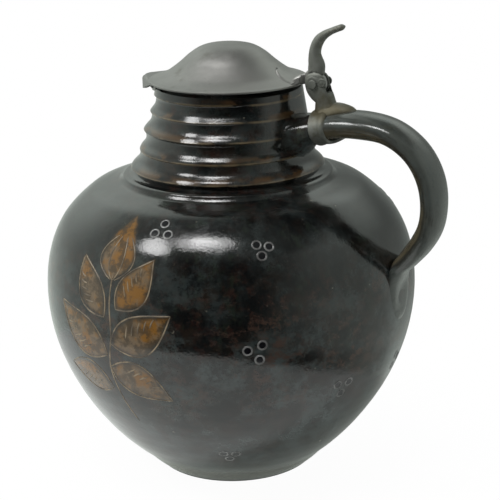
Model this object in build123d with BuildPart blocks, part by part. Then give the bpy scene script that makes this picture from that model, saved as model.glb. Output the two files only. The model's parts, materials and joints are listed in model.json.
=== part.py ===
"""Lidded stoneware serving jug, in millimetres.

The origin is the centre of the flat foot, +Z is up, the handle stands towards +X and the
pouring lip towards -X. The lid turns about a pin that lies along Y above the handle's root.
"""
from build123d import *
import os
from math import cos, radians, sin

# Thrown body
foot_radius = 46.0
foot_round = 1.5
belly_radius = 106.0
belly_height = 111.0
shoulder_rise = 60.8
shoulder_ledge = 4.2
wall = 5.0
floor_thickness = 7.0

# Neck, a stack of turned rings between the shoulder and the mouth
neck_base_radius = 54.8
neck_top_radius = 39.0
neck_base_rise = 5.0
neck_height = 48.7
ring_levels = (0.0, 0.2, 0.43, 0.63, 0.825)
ring_flares = (1.0, 0.658, 0.481, 0.228, 0.076)
ring_step = 0.9
ring_curve = 0.62
undercut = 1.8
mouth_wall = 4.5

# Pouring lip pulled out of the rim
lip_pull = 10.0
lip_radius = 9.5
lip_root_drop = 22.0
lip_fall = 4.5
lip_wall = 3.0

# Lid, turned a little out of centre with the mouth
lid_offset = 2.0
lid_overhang = 5.4
lid_lift = 1.5
lid_rise = 18.4
lid_skirt = 3.3
lid_plate = 1.6
seat_gap = 0.3

# Hood over the pouring lip
hood_overhang = 4.0
hood_tip_radius = 8.0
hood_fall = 2.8
hood_depth = 11.5
hood_wall = 1.6
hood_length = 19.0

# Hinge
pin_gap = 9.3
pin_radius = 1.6
pin_head_radius = 2.4
pin_head = 0.8
pin_clearance = 0.05
knuckle_radius = 6.2
tang_width = 3.5
slot_gap = 0.2
cheek_radius = 6.5
cheek_width = 8.8
cheek_neck = 4.4
boss_radius = 4.3
boss_height = 0.5
side_boss_radius = 2.9
lift_gap = 0.3

# Pulled handle of oval section
handle_thickness = 14.6
handle_width = 25.0
handle_taper = 0.88
handle_drop = 21.2
handle_run = 27.3
handle_reach = 17.9
handle_rise = 13.0
handle_turn = 124.0
handle_bite = 4.0
root_height = 25.0
root_width = 30.0
root_length = 26.0
root_drop = 5.5
pad_length = 26.0
pad_width = 28.0
pad_thickness = 3.4
pad_start = 0.8
pad_blend = 4.0

# Strap round the handle
strap_width = 9.2
strap_thickness = 1.2
leaf_length = 14.0
leaf_width = 9.0
leaf_height = 3.2
post_root = 4.0
post_shoulder = 1.2

# Thumb-lift
lift_width = 6.4
lift_height = 32.1
lift_reach = 17.2

# Tongue of the lid's shank
tongue_length = 17.0
tongue_width = 19.0
tongue_height = 1.5
shank_width = 8.0
shank_neck = 5.0

# Heights and reaches that follow from the sizes above
shoulder_radius = neck_base_radius + shoulder_ledge
shoulder_height = belly_height + shoulder_rise
neck_base_height = shoulder_height + neck_base_rise
rim_height = neck_base_height + neck_height
lip_reach = neck_top_radius + lip_pull
lid_radius = neck_top_radius + lid_overhang
lid_edge_height = rim_height + lid_lift
lid_apex_height = lid_edge_height + lid_rise
seat_height = rim_height + seat_gap
hood_reach = lip_reach + hood_overhang
pin_x = lid_offset + lid_radius + pin_gap
pin_height = rim_height
handle_top_height = pin_height - handle_drop
handle_start_x = neck_top_radius
handle_bow_start = pin_x + handle_run
handle_bow_radius = belly_radius + handle_reach - handle_bow_start


def flank_points():
    """Outline of the thrown body from the foot to the edge of the shoulder, as (radius, height)."""
    lower = ((0.143, 0.285), (0.359, 0.617), (0.574, 0.85), (0.789, 0.972), (1.0, 1.0))
    upper = ((0.271, 0.96), (0.533, 0.836), (0.794, 0.56), (0.926, 0.345), (1.0, 0.0))
    points = [(foot_radius, 0.0)]
    for level, share in lower:
        points.append((foot_radius + share * (belly_radius - foot_radius), level * belly_height))
    for level, share in upper:
        radius = shoulder_radius + share * (belly_radius - shoulder_radius)
        points.append((radius, belly_height + level * (shoulder_height - belly_height)))
    return points


def ring_crests():
    """Sharp lower edge of each neck ring, from the lowest up, as (radius, height)."""
    crests = []
    for level, flare in zip(ring_levels, ring_flares):
        radius = neck_top_radius + flare * (neck_base_radius - neck_top_radius)
        crests.append((radius, neck_base_height + level * (rim_height - neck_base_height)))
    return crests


def inset(points, distance):
    """Points moved inwards by a distance, square to the outline that they follow."""
    moved = []
    for before, point, after in zip(points, points[1:], points[2:]):
        run = Vector(after[0] - before[0], after[1] - before[1]).normalized()
        moved.append((point[0] - distance * run.Y, point[1] + distance * run.X))
    return moved


flank = flank_points()
crests = ring_crests()
rim_point = (neck_top_radius + ring_step, rim_height)

# Solid of the body's outside, which the handle is cut back from
with BuildPart() as jug_outside:
    with BuildSketch(Plane.XZ):
        with BuildLine():
            Line((0, 0), flank[0])
            Spline(*flank)
            cove = (neck_base_radius - undercut, neck_base_height - undercut)
            Line(flank[-1], (cove[0] + undercut, cove[1] - undercut))
            Line((cove[0] + undercut, cove[1] - undercut), cove)
            Line(cove, crests[0])
            for lower, upper in zip(crests, crests[1:] + [rim_point]):
                wall_radius = upper[0] - ring_step
                step_height = lower[1] + ring_curve * (upper[1] - lower[1])
                top_height = upper[1] - ring_step if upper is not rim_point else rim_height
                Spline(lower, (wall_radius, step_height), tangents=((-0.15, 1), (0, 1)))
                Line((wall_radius, step_height), (wall_radius, top_height))
                if upper is not rim_point:
                    Line((wall_radius, top_height), upper)
            Line((neck_top_radius, rim_height), (0, rim_height))
            Line((0, rim_height), (0, 0))
        make_face()
    revolve(axis=Axis.Z)
    fillet(jug_outside.edges().group_by(Axis.Z)[0], radius=foot_round)

# Pouring lip, before its channel is cut
lip_centre = lip_reach - lip_radius
with BuildPart() as lip_outside:
    with BuildSketch(Plane.XY.offset(rim_height - lip_root_drop)):
        with Locations((-(neck_top_radius - lip_radius), 0)):
            Circle(lip_radius)
    with BuildSketch(Plane.XY.offset(rim_height)):
        with Locations((-lip_centre, 0)):
            Circle(lip_radius)
    loft()
    with BuildSketch(Plane.XZ):
        with BuildLine():
            Polyline(
                (-neck_top_radius, rim_height),
                (-lip_reach, rim_height - lip_fall),
                (-lip_reach - lip_radius, rim_height - lip_fall),
                (-lip_reach - lip_radius, rim_height + 1),
                (-neck_top_radius, rim_height + 1),
                close=True,
            )
        make_face()
    extrude(amount=2 * lip_radius, both=True, mode=Mode.SUBTRACT)

# Body with its hollow, mouth and pouring channel
hollow = inset(flank, wall)
mouth_radius = neck_top_radius - mouth_wall
with BuildPart() as jug_body:
    add(jug_outside.part)
    add(lip_outside.part)
    with BuildSketch(Plane.XZ):
        with BuildLine():
            Line((0, floor_thickness), (foot_radius, floor_thickness))
            Spline((foot_radius, floor_thickness), *hollow)
            throat = (neck_base_radius - wall - undercut, neck_base_height)
            Spline(hollow[-1], throat, (mouth_radius, rim_height), tangents=((-1, 0.3), (0, 1)))
            Line((mouth_radius, rim_height), (0, rim_height))
            Line((0, rim_height), (0, floor_thickness))
        make_face()
    revolve(axis=Axis.Z, mode=Mode.SUBTRACT)
    with BuildSketch(Plane.XY.offset(rim_height - lip_root_drop + wall)):
        with Locations((-(mouth_radius - lip_radius), 0)):
            Circle(lip_radius - lip_wall)
    with BuildSketch(Plane.XY.offset(rim_height + 1)):
        with Locations((-lip_centre, 0)):
            Circle(lip_radius - lip_wall)
    loft(mode=Mode.SUBTRACT)
jug_body.part.label = "jug_body"

# Centre line of the handle, from inside the neck to inside the belly
bow = handle_bow_start - handle_start_x
rise_radius = bow / sin(radians(handle_rise))
start_height = handle_top_height - rise_radius * (1 - cos(radians(handle_rise)))
with BuildLine(Plane.XZ) as handle_line:
    rising = JernArc(
        start=(handle_start_x, start_height),
        tangent=(cos(radians(handle_rise)), sin(radians(handle_rise))),
        radius=rise_radius,
        arc_size=-handle_rise,
    )
    bowed = JernArc(start=rising @ 1, tangent=rising % 1, radius=handle_bow_radius, arc_size=-handle_turn)
    tail_length = ((bowed @ 1).X - belly_radius + handle_bite) / abs((bowed % 1).X)
    Line(bowed @ 1, bowed @ 1 + (bowed % 1) * tail_length)


def across(point, direction):
    """Plane square to the handle's line, with its local X along Y."""
    return Plane(origin=point, x_dir=(0, 1, 0), z_dir=direction)


def root_section(share):
    """Half width, half height and drop of the flared root, as a share of its length."""
    half_width = (root_width + share * (handle_width - root_width)) / 2
    half_height = (root_height + share * (handle_thickness - root_height)) / 2
    return half_width, half_height, root_drop * (1 - share)


tail_start = bowed @ 1
tail_run = bowed % 1
tail_half = handle_taper * handle_thickness / 2
tail_outer = tail_start + Vector(-tail_run.Z, 0, tail_run.X) * tail_half


def tail_x(height):
    """Outside of the handle's straight tail at a height."""
    return tail_outer.X + (height - tail_outer.Z) * tail_run.X / tail_run.Z


def belly_at(height):
    """Outer radius of the body at a height between the foot and the shoulder."""
    for (low_radius, low), (high_radius, high) in zip(flank, flank[1:]):
        if low <= height <= high:
            return low_radius + (height - low) / (high - low) * (high_radius - low_radius)
    return shoulder_radius


# Pad pressed onto the belly: each level below the landing with its relief, half depth and half width
landing = tail_start.Z - pad_start * tail_length * abs(tail_run.Z)
pad_top = landing + pad_blend
pad_shares = ((0.3, 1.2, 2.0, 0.45), (0.7, 1.0, 2.0, 0.5), (1.1, 0.6, 1.8, 0.36))
pad_sections = [(pad_top, tail_x(pad_top), tail_half / abs(tail_run.Z), handle_taper * handle_width / 2)]
for fall, relief, depth, spread in pad_shares:
    level = landing - fall * pad_length
    outermost = belly_at(level) + relief * pad_thickness
    pad_sections.append((level, outermost, depth * pad_thickness, spread * pad_width))
with BuildPart() as handle:
    for share in (0, 0.5, 1):
        taper = 1 - share * (1 - handle_taper)
        with BuildSketch(across(handle_line.line @ share, handle_line.line % share)):
            Ellipse(taper * handle_width / 2, taper * handle_thickness / 2)
    sweep(path=handle_line.line, multisection=True)
    for share in (0, 1):
        along = share * root_length / bow
        with BuildSketch(across(rising @ along, rising % along)):
            with Locations((0, -root_section(share)[2])):
                Ellipse(*root_section(share)[:2])
    loft()
    for level, outermost, half_depth, half_width in pad_sections:
        with BuildSketch(Plane.XY.offset(level)):
            with Locations((outermost - half_depth, 0)):
                Ellipse(half_depth, half_width)
    loft()
    add(jug_outside.part, mode=Mode.SUBTRACT)
handle.part.label = "handle"

# Band cast round the root of the handle, with its seam tail beneath
strap_back = pin_x + strap_width
strap_share = (strap_back - handle_start_x) / bow
strap_top = (rising @ strap_share).Z + handle_thickness / 2 + strap_thickness
strap_foot = (rising @ strap_share).Z - handle_thickness / 2
with BuildPart() as handle_strap:
    for edge_x in (pin_x, strap_back):
        along = (edge_x - handle_start_x) / bow
        half_width, half_height, drop = root_section(min(1, (edge_x - handle_start_x) / root_length))
        with BuildSketch(across(rising @ along, rising % along)):
            with Locations((0, -drop)):
                Ellipse(half_width + strap_thickness, half_height + strap_thickness)
    loft()
    with BuildSketch(Plane.XZ):
        with BuildLine():
            Polyline(
                (strap_back - strap_width / 2, strap_foot - strap_thickness),
                (strap_back, strap_foot - strap_thickness / 2),
                (strap_back + 0.8 * strap_width, strap_foot + strap_thickness),
                (strap_back + 0.8 * strap_width, strap_foot + 2 * strap_thickness),
                (strap_back - strap_width / 2, strap_foot + 2 * strap_thickness),
                close=True,
            )
        make_face()
    extrude(amount=strap_width / 3, both=True)
    add(handle.part, mode=Mode.SUBTRACT)
    add(jug_outside.part, mode=Mode.SUBTRACT)
handle_strap.part.label = "handle_strap"

# Post on the band, forked into two cheeks that hold the pin
slot_half = tang_width / 2 + slot_gap
cheek_half = cheek_width / 2
lift_seat = cheek_radius + lift_gap
side_boss_x = pin_x + cheek_radius - 0.8 * side_boss_radius
with BuildPart() as hinge_post:
    with BuildSketch(Plane.XZ):
        with BuildLine():
            Polyline(
                (pin_x, strap_top - post_root),
                (pin_x, pin_height - cheek_radius),
                (pin_x - cheek_neck, pin_height - cheek_neck / 2),
                (pin_x - cheek_neck, pin_height + cheek_neck),
                (pin_x, pin_height + cheek_neck),
                (pin_x + cheek_radius, pin_height),
                (pin_x + cheek_radius + post_shoulder, pin_height - cheek_neck),
                (pin_x + cheek_radius + post_shoulder / 2, pin_height - cheek_radius),
                (strap_back, strap_top + post_root / 2),
                (strap_back, strap_top - post_root),
                close=True,
            )
        make_face()
        with Locations((pin_x, pin_height)):
            Circle(cheek_radius)
        with BuildLine():
            Polyline(
                (pin_x - cheek_neck, pin_height - cheek_radius),
                (pin_x - cheek_neck, pin_height + 2 * cheek_radius),
                (pin_x - 2 * cheek_radius, pin_height + 2 * cheek_radius),
                (pin_x - 2 * cheek_radius, pin_height - cheek_radius),
                close=True,
            )
        make_face(mode=Mode.SUBTRACT)
    extrude(amount=cheek_half, both=True)
    with BuildSketch(Plane.XZ):
        with Locations((pin_x, pin_height)):
            Circle(boss_radius)
    extrude(amount=cheek_half + boss_height, both=True)
    with BuildSketch(Plane.XZ):
        with Locations((side_boss_x, pin_height + 0.4 * side_boss_radius)):
            Circle(side_boss_radius)
    extrude(amount=cheek_half + boss_height, both=True)
    with BuildSketch(Plane.XZ):
        with Locations((pin_x, pin_height)):
            Circle(lift_seat + slot_gap)
    extrude(amount=slot_half, both=True, mode=Mode.SUBTRACT)
    with BuildSketch(Plane.XZ):
        with BuildLine():
            Polyline(
                (pin_x, pin_height - cheek_neck),
                (pin_x, pin_height + 2 * cheek_radius),
                (pin_x + 2 * cheek_radius, pin_height + 2 * cheek_radius),
                (pin_x + 2 * cheek_radius, pin_height - cheek_neck),
                close=True,
            )
        make_face()
        with Locations((pin_x, pin_height)):
            Circle(cheek_radius, mode=Mode.SUBTRACT)
    extrude(amount=lift_width / 2 + lift_gap, both=True, mode=Mode.SUBTRACT)
    with BuildSketch(Plane.XZ):
        with Locations((pin_x, pin_height)):
            Circle(pin_radius)
    extrude(amount=cheek_width, both=True, mode=Mode.SUBTRACT)
    add(handle_strap.part, mode=Mode.SUBTRACT)
    add(handle.part, mode=Mode.SUBTRACT)
hinge_post.part.label = "hinge_post"

# Leaf of the band that runs out along the top of the handle
with BuildPart() as strap_leaf:
    with BuildSketch(Plane.XZ):
        with BuildLine():
            Spline(
                (strap_back, strap_top + 0.6 * leaf_height),
                (strap_back + 0.35 * leaf_length, strap_top + 0.7 * leaf_height),
                (strap_back + 0.7 * leaf_length, strap_top + 0.3 * leaf_height),
                (strap_back + leaf_length, strap_top - strap_thickness),
            )
            Line((strap_back + leaf_length, strap_top - strap_thickness), (strap_back, strap_top - post_root))
            Line((strap_back, strap_top - post_root), (strap_back, strap_top + 0.6 * leaf_height))
        make_face()
    extrude(amount=leaf_width / 2, both=True)
    with BuildSketch(Plane.XY.offset(strap_top - 2 * post_root)):
        with BuildLine():
            Line((strap_back, -leaf_width / 2), (strap_back, leaf_width / 2))
            Spline(
                (strap_back, leaf_width / 2),
                (strap_back + 0.6 * leaf_length, 0.4 * leaf_width),
                (strap_back + leaf_length, 0),
                (strap_back + 0.6 * leaf_length, -0.4 * leaf_width),
                (strap_back, -leaf_width / 2),
            )
        make_face()
    extrude(amount=5 * leaf_height, mode=Mode.INTERSECT)
    add(handle.part, mode=Mode.SUBTRACT)
    add(handle_strap.part, mode=Mode.SUBTRACT)
    add(hinge_post.part, mode=Mode.SUBTRACT)
strap_leaf.part.label = "strap_leaf"

# Hinge pin, peened over on both bosses
pin_half = cheek_half + boss_height
with BuildPart() as hinge_pin:
    with BuildSketch(Plane.XZ):
        with Locations((pin_x, pin_height)):
            Circle(pin_radius)
    extrude(amount=pin_half + pin_head / 2, both=True)
    for side in (-1, 1):
        with BuildSketch(Plane.XZ.offset(side * pin_half)):
            with Locations((pin_x, pin_height)):
                Circle(pin_head_radius)
        extrude(amount=side * pin_head)
    fillet(hinge_pin.faces().sort_by(Axis.Y)[0].edges(), radius=pin_head / 2)
    fillet(hinge_pin.faces().sort_by(Axis.Y)[-1].edges(), radius=pin_head / 2)
hinge_pin.part.label = "hinge_pin"

# Lid: low dome on a sloping flange with a turned-down skirt
lid_axis = Axis((lid_offset, 0, 0), (0, 0, 1))
lid_plane = Plane(origin=(lid_offset, 0, 0), x_dir=(1, 0, 0), z_dir=(0, -1, 0))
lid_shape = ((0.0, 1.0), (0.18, 0.965), (0.36, 0.82), (0.56, 0.475), (0.72, 0.19), (0.86, 0.07), (1.0, 0.0))
lid_top = [(share * lid_radius, lid_edge_height + rise * lid_rise) for share, rise in lid_shape]
under_rise = lid_apex_height - lid_plate - seat_height
under_shape = ((0.0, 1.0), (0.18, 0.96), (0.36, 0.80), (0.56, 0.40))
lid_under = [(share * lid_radius, seat_height + rise * under_rise) for share, rise in under_shape]
seat_inner_radius = 0.74 * lid_radius
with BuildPart() as lid_whole:
    with BuildSketch(lid_plane):
        with BuildLine():
            Spline(*lid_top, tangents=((1, 0), (1, -0.12)))
            Polyline(
                lid_top[-1],
                (lid_radius, lid_edge_height - lid_skirt),
                (lid_radius - lid_plate, lid_edge_height - lid_skirt),
                (lid_radius - lid_plate, seat_height),
                (seat_inner_radius, seat_height),
            )
            Spline(*lid_under, (seat_inner_radius, seat_height), tangents=((1, 0), (1, -0.05)))
            Line(lid_under[0], lid_top[0])
        make_face()
    revolve(axis=lid_axis)

# Solid of the lid's outside, down past its skirt
with BuildPart() as lid_filled:
    with BuildSketch(lid_plane):
        with BuildLine():
            Spline(*lid_top, tangents=((1, 0), (1, -0.12)))
            Polyline(lid_top[-1], (lid_radius, lid_edge_height - lid_skirt), (0, lid_edge_height - lid_skirt))
            Line((0, lid_edge_height - lid_skirt), lid_top[0])
        make_face()
    revolve(axis=lid_axis)


def hood_outline(margin):
    """Side view of the hood, moved in by a margin, open towards the lid."""
    tip = margin - hood_reach
    top = lid_edge_height - margin
    bottom = lid_edge_height - hood_depth - margin
    skirt = lid_edge_height - lid_skirt - margin
    root = hood_length - hood_reach + margin
    return ((root, top), (lid_offset - lid_radius, top), (tip, top - hood_fall), (tip, bottom), (root, skirt))


def hood_block(margin):
    """Solid of the hood's outside, or of its hollow when it has a margin."""
    with BuildPart() as block:
        with BuildSketch(Plane.XY.offset(lid_edge_height - 2 * hood_depth)):
            with Locations((lid_offset, 0)):
                Circle(lid_radius - margin)
            with Locations((hood_tip_radius - hood_reach, 0)):
                Circle(hood_tip_radius - margin)
            make_hull()
        extrude(amount=3 * hood_depth)
        with BuildSketch(Plane.XZ):
            with BuildLine():
                Polyline(*hood_outline(margin), close=True)
            make_face()
        extrude(amount=lid_radius, both=True, mode=Mode.INTERSECT)
    return block.part


hood_outside = hood_block(0)
hood_hollow = hood_block(hood_wall)
with BuildPart() as spout_hood:
    add(hood_outside)
    add(hood_hollow, mode=Mode.SUBTRACT)
    add(lid_filled.part, mode=Mode.SUBTRACT)
spout_hood.part.label = "spout_hood"

# The skirt is cut away where the lid opens into the hood
with BuildPart() as lid:
    add(lid_whole.part)
    add(hood_hollow, mode=Mode.SUBTRACT)
lid.part.label = "lid"

# Shank: tongue on the flange, bar to the hinge and the knuckle that turns on the pin
tang_half = tang_width / 2
shank_front = pin_x - lift_seat
tongue_tip = shank_front - tongue_length - lift_gap
with BuildPart() as lid_shank:
    with BuildSketch(lid_plane):
        with BuildLine():
            raised = [(radius, height + tongue_height) for radius, height in lid_top]
            Spline(*raised, tangents=((1, 0), (1, -0.12)))
            Polyline(raised[-1], (lid_radius, lid_edge_height - lid_skirt), (0, lid_edge_height - lid_skirt))
            Line((0, lid_edge_height - lid_skirt), raised[0])
        make_face()
    revolve(axis=lid_axis)
    with BuildSketch(Plane.XY.offset(seat_height)):
        with BuildLine():
            Spline(
                (shank_front, shank_width / 2),
                (shank_front - 0.35 * tongue_length, tongue_width / 2),
                (tongue_tip, 0),
                (shank_front - 0.35 * tongue_length, -tongue_width / 2),
                (shank_front, -shank_width / 2),
            )
            Line((shank_front, -shank_width / 2), (shank_front, shank_width / 2))
        make_face()
    extrude(amount=2 * lid_rise, mode=Mode.INTERSECT)
    with BuildSketch(Plane.XZ):
        with BuildLine():
            Polyline(
                (shank_front - shank_neck, seat_height),
                (shank_front, seat_height),
                (shank_front, lid_edge_height + 2 * tongue_height),
                (shank_front - 0.4 * shank_neck, lid_edge_height + 2 * tongue_height),
                (shank_front - shank_neck, lid_edge_height + tongue_height),
                close=True,
            )
        make_face()
    extrude(amount=shank_width / 2, both=True)
    with BuildSketch(Plane.XZ):
        with Locations((pin_x, pin_height)):
            Circle(knuckle_radius)
        with BuildLine():
            tang = Polyline(
                (pin_x - 0.6 * lift_seat, pin_height + 0.8 * lift_seat),
                (shank_front - 1, lid_edge_height + 1.5 * tongue_height),
                (shank_front - 1, seat_height),
                (pin_x, pin_height - 1),
                (pin_x + 0.6 * lift_seat, pin_height + 0.8 * lift_seat),
            )
            ThreePointArc(tang @ 1, (pin_x, pin_height + lift_seat), tang @ 0)
        make_face()
    extrude(amount=tang_half, both=True)
    with BuildSketch(Plane.XZ):
        with Locations((pin_x, pin_height)):
            Circle(pin_radius + pin_clearance)
    extrude(amount=cheek_width, both=True, mode=Mode.SUBTRACT)
    add(lid_filled.part, mode=Mode.SUBTRACT)
lid_shank.part.label = "lid_shank"

# Thumb-lift, a curved blade that rises from the shank and curls back over the handle
lift_front = ((-0.26, 0.21), (-0.24, 0.37), (-0.21, 0.54), (-0.08, 0.7), (0.17, 0.83), (0.47, 0.92), (0.8, 0.99))
lift_tip = (0.99, 0.97)
lift_back = ((0.91, 0.9), (0.66, 0.86), (0.42, 0.79), (0.24, 0.69), (0.16, 0.58), (0.17, 0.48), (0.3, 0.3))
lift_heel = (0.23, 0.17)


def lift_point(point):
    """Point of the thumb-lift, given from the pin's centre as shares of its reach and height."""
    return (pin_x + point[0] * lift_reach, pin_height + point[1] * lift_height)


with BuildPart() as thumb_lift:
    with BuildSketch(Plane.XZ):
        with BuildLine():
            front = Spline(*[lift_point(point) for point in lift_front])
            ThreePointArc(front @ 1, lift_point(lift_tip), lift_point(lift_back[0]))
            back = Spline(*[lift_point(point) for point in lift_back])
            Polyline(back @ 1, lift_point(lift_heel), (pin_x, pin_height), front @ 0)
        make_face()
        with Locations((pin_x, pin_height)):
            Circle(lift_seat, mode=Mode.SUBTRACT)
    extrude(amount=lift_width / 2, both=True)
    add(lid_shank.part, mode=Mode.SUBTRACT)
thumb_lift.part.label = "thumb_lift"

parts = (
    jug_body,
    handle,
    handle_strap,
    strap_leaf,
    hinge_post,
    hinge_pin,
    lid,
    spout_hood,
    lid_shank,
    thumb_lift,
)
os.makedirs("parts", exist_ok=True)
for piece in parts:
    export_step(piece.part, f"parts/{piece.part.label}.step")
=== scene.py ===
"""Lidded stoneware jug: its looks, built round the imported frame.

Sizes in the classes are in millimetres, and the bench turns them into metres. The handle stands towards +X,
the pouring lip towards -X, and the lid turns about a pin that lies along Y.
"""
import json
import logging
import math
from dataclasses import dataclass, replace
from enum import Enum
from itertools import pairwise
from typing import Callable, Iterable, Sequence

import bpy
import numpy as np
from mathutils import Matrix, Vector, noise


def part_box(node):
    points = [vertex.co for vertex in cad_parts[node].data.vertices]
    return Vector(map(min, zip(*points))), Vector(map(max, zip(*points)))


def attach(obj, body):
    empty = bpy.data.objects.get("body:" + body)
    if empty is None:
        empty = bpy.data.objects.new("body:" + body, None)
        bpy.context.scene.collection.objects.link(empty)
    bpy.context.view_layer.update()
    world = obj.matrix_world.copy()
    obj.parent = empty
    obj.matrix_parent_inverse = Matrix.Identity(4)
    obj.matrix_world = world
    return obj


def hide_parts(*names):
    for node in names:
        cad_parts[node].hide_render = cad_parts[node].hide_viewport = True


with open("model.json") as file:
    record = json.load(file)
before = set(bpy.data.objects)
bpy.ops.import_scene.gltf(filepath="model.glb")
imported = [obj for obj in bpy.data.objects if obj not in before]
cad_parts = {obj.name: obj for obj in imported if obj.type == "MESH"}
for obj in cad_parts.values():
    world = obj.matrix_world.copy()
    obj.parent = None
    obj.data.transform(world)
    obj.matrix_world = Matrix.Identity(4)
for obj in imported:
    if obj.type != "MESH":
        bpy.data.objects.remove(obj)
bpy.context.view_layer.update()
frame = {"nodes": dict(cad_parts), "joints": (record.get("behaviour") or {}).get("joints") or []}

MM = 0.001
log = logging.getLogger("jug")

Row = Sequence[float]
Shape = Callable[[Vector], Vector]


class Body(Enum):
    """Bodies of the frame that the pieces ride on."""

    JUG = "jug"
    LID = "lid"


class Slot(Enum):
    """Material slots of the record."""

    GLAZE = "glaze"
    LID = "pewter_lid"
    MOUNT = "pewter_mount"


def smooth(rows: Sequence[Row], per_span: int) -> list[tuple[float, ...]]:
    """Rows of numbers along a smooth curve through the given rows.

    Args:
        rows: Control rows; the first two numbers set the spacing.
        per_span: Steps from one control row to the next.

    Returns:
        The rows along the curve, both ends included.
    """
    table = np.array(rows, float)
    reach = np.linalg.norm(np.diff(table[:, :2], axis=0), axis=1)[:, None]
    slope = np.diff(table, axis=0) / reach
    inner = (slope[:-1] * reach[1:] + slope[1:] * reach[:-1]) / (reach[:-1] + reach[1:])
    first = 1.5 * slope[:1] - 0.5 * inner[:1]
    last = 1.5 * slope[-1:] - 0.5 * inner[-1:]
    tangent = np.vstack([first, inner, last])
    found = []
    for i in range(len(table) - 1):
        for k in range(per_span):
            t = k / per_span
            start = (2 * t**3 - 3 * t**2 + 1) * table[i] + (t**3 - 2 * t**2 + t) * reach[i] * tangent[i]
            end = (3 * t**2 - 2 * t**3) * table[i + 1] + (t**3 - t**2) * reach[i] * tangent[i + 1]
            found.append(tuple(start + end))
    found.append(tuple(table[-1]))
    return found


def rise(low: float, high: float, value: float) -> float:
    """Soft step from 0 at low to 1 at high."""
    share = min(1.0, max(0.0, (value - low) / (high - low)))
    return share * share * (3 - 2 * share)


def bump(centre: float, reach: float, value: float) -> float:
    """Soft hump of height 1 that ends at a reach from its centre."""
    return max(0.0, 1 - ((value - centre) / reach) ** 2) ** 2


@dataclass
class Station:
    """One section of a bar that lies in the XZ plane."""

    x: float
    z: float
    thick: float
    wide: float
    square: float = 2.0

    def row(self) -> tuple[float, ...]:
        """The station's numbers."""
        return (self.x, self.z, self.thick, self.wide, self.square)


def sections(rows: Sequence[Row], x: float = 0.0, z: float = 0.0) -> list[Station]:
    """Stations from rows of their numbers.

    Args:
        rows: X, Z, half thickness, half width and, where it isn't an ellipse, the power of each section.
        x: X that the rows are given from.
        z: Z that the rows are given from.

    Returns:
        The stations.
    """
    return [Station(x + row[0], z + row[1], *row[2:]) for row in rows]


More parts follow.
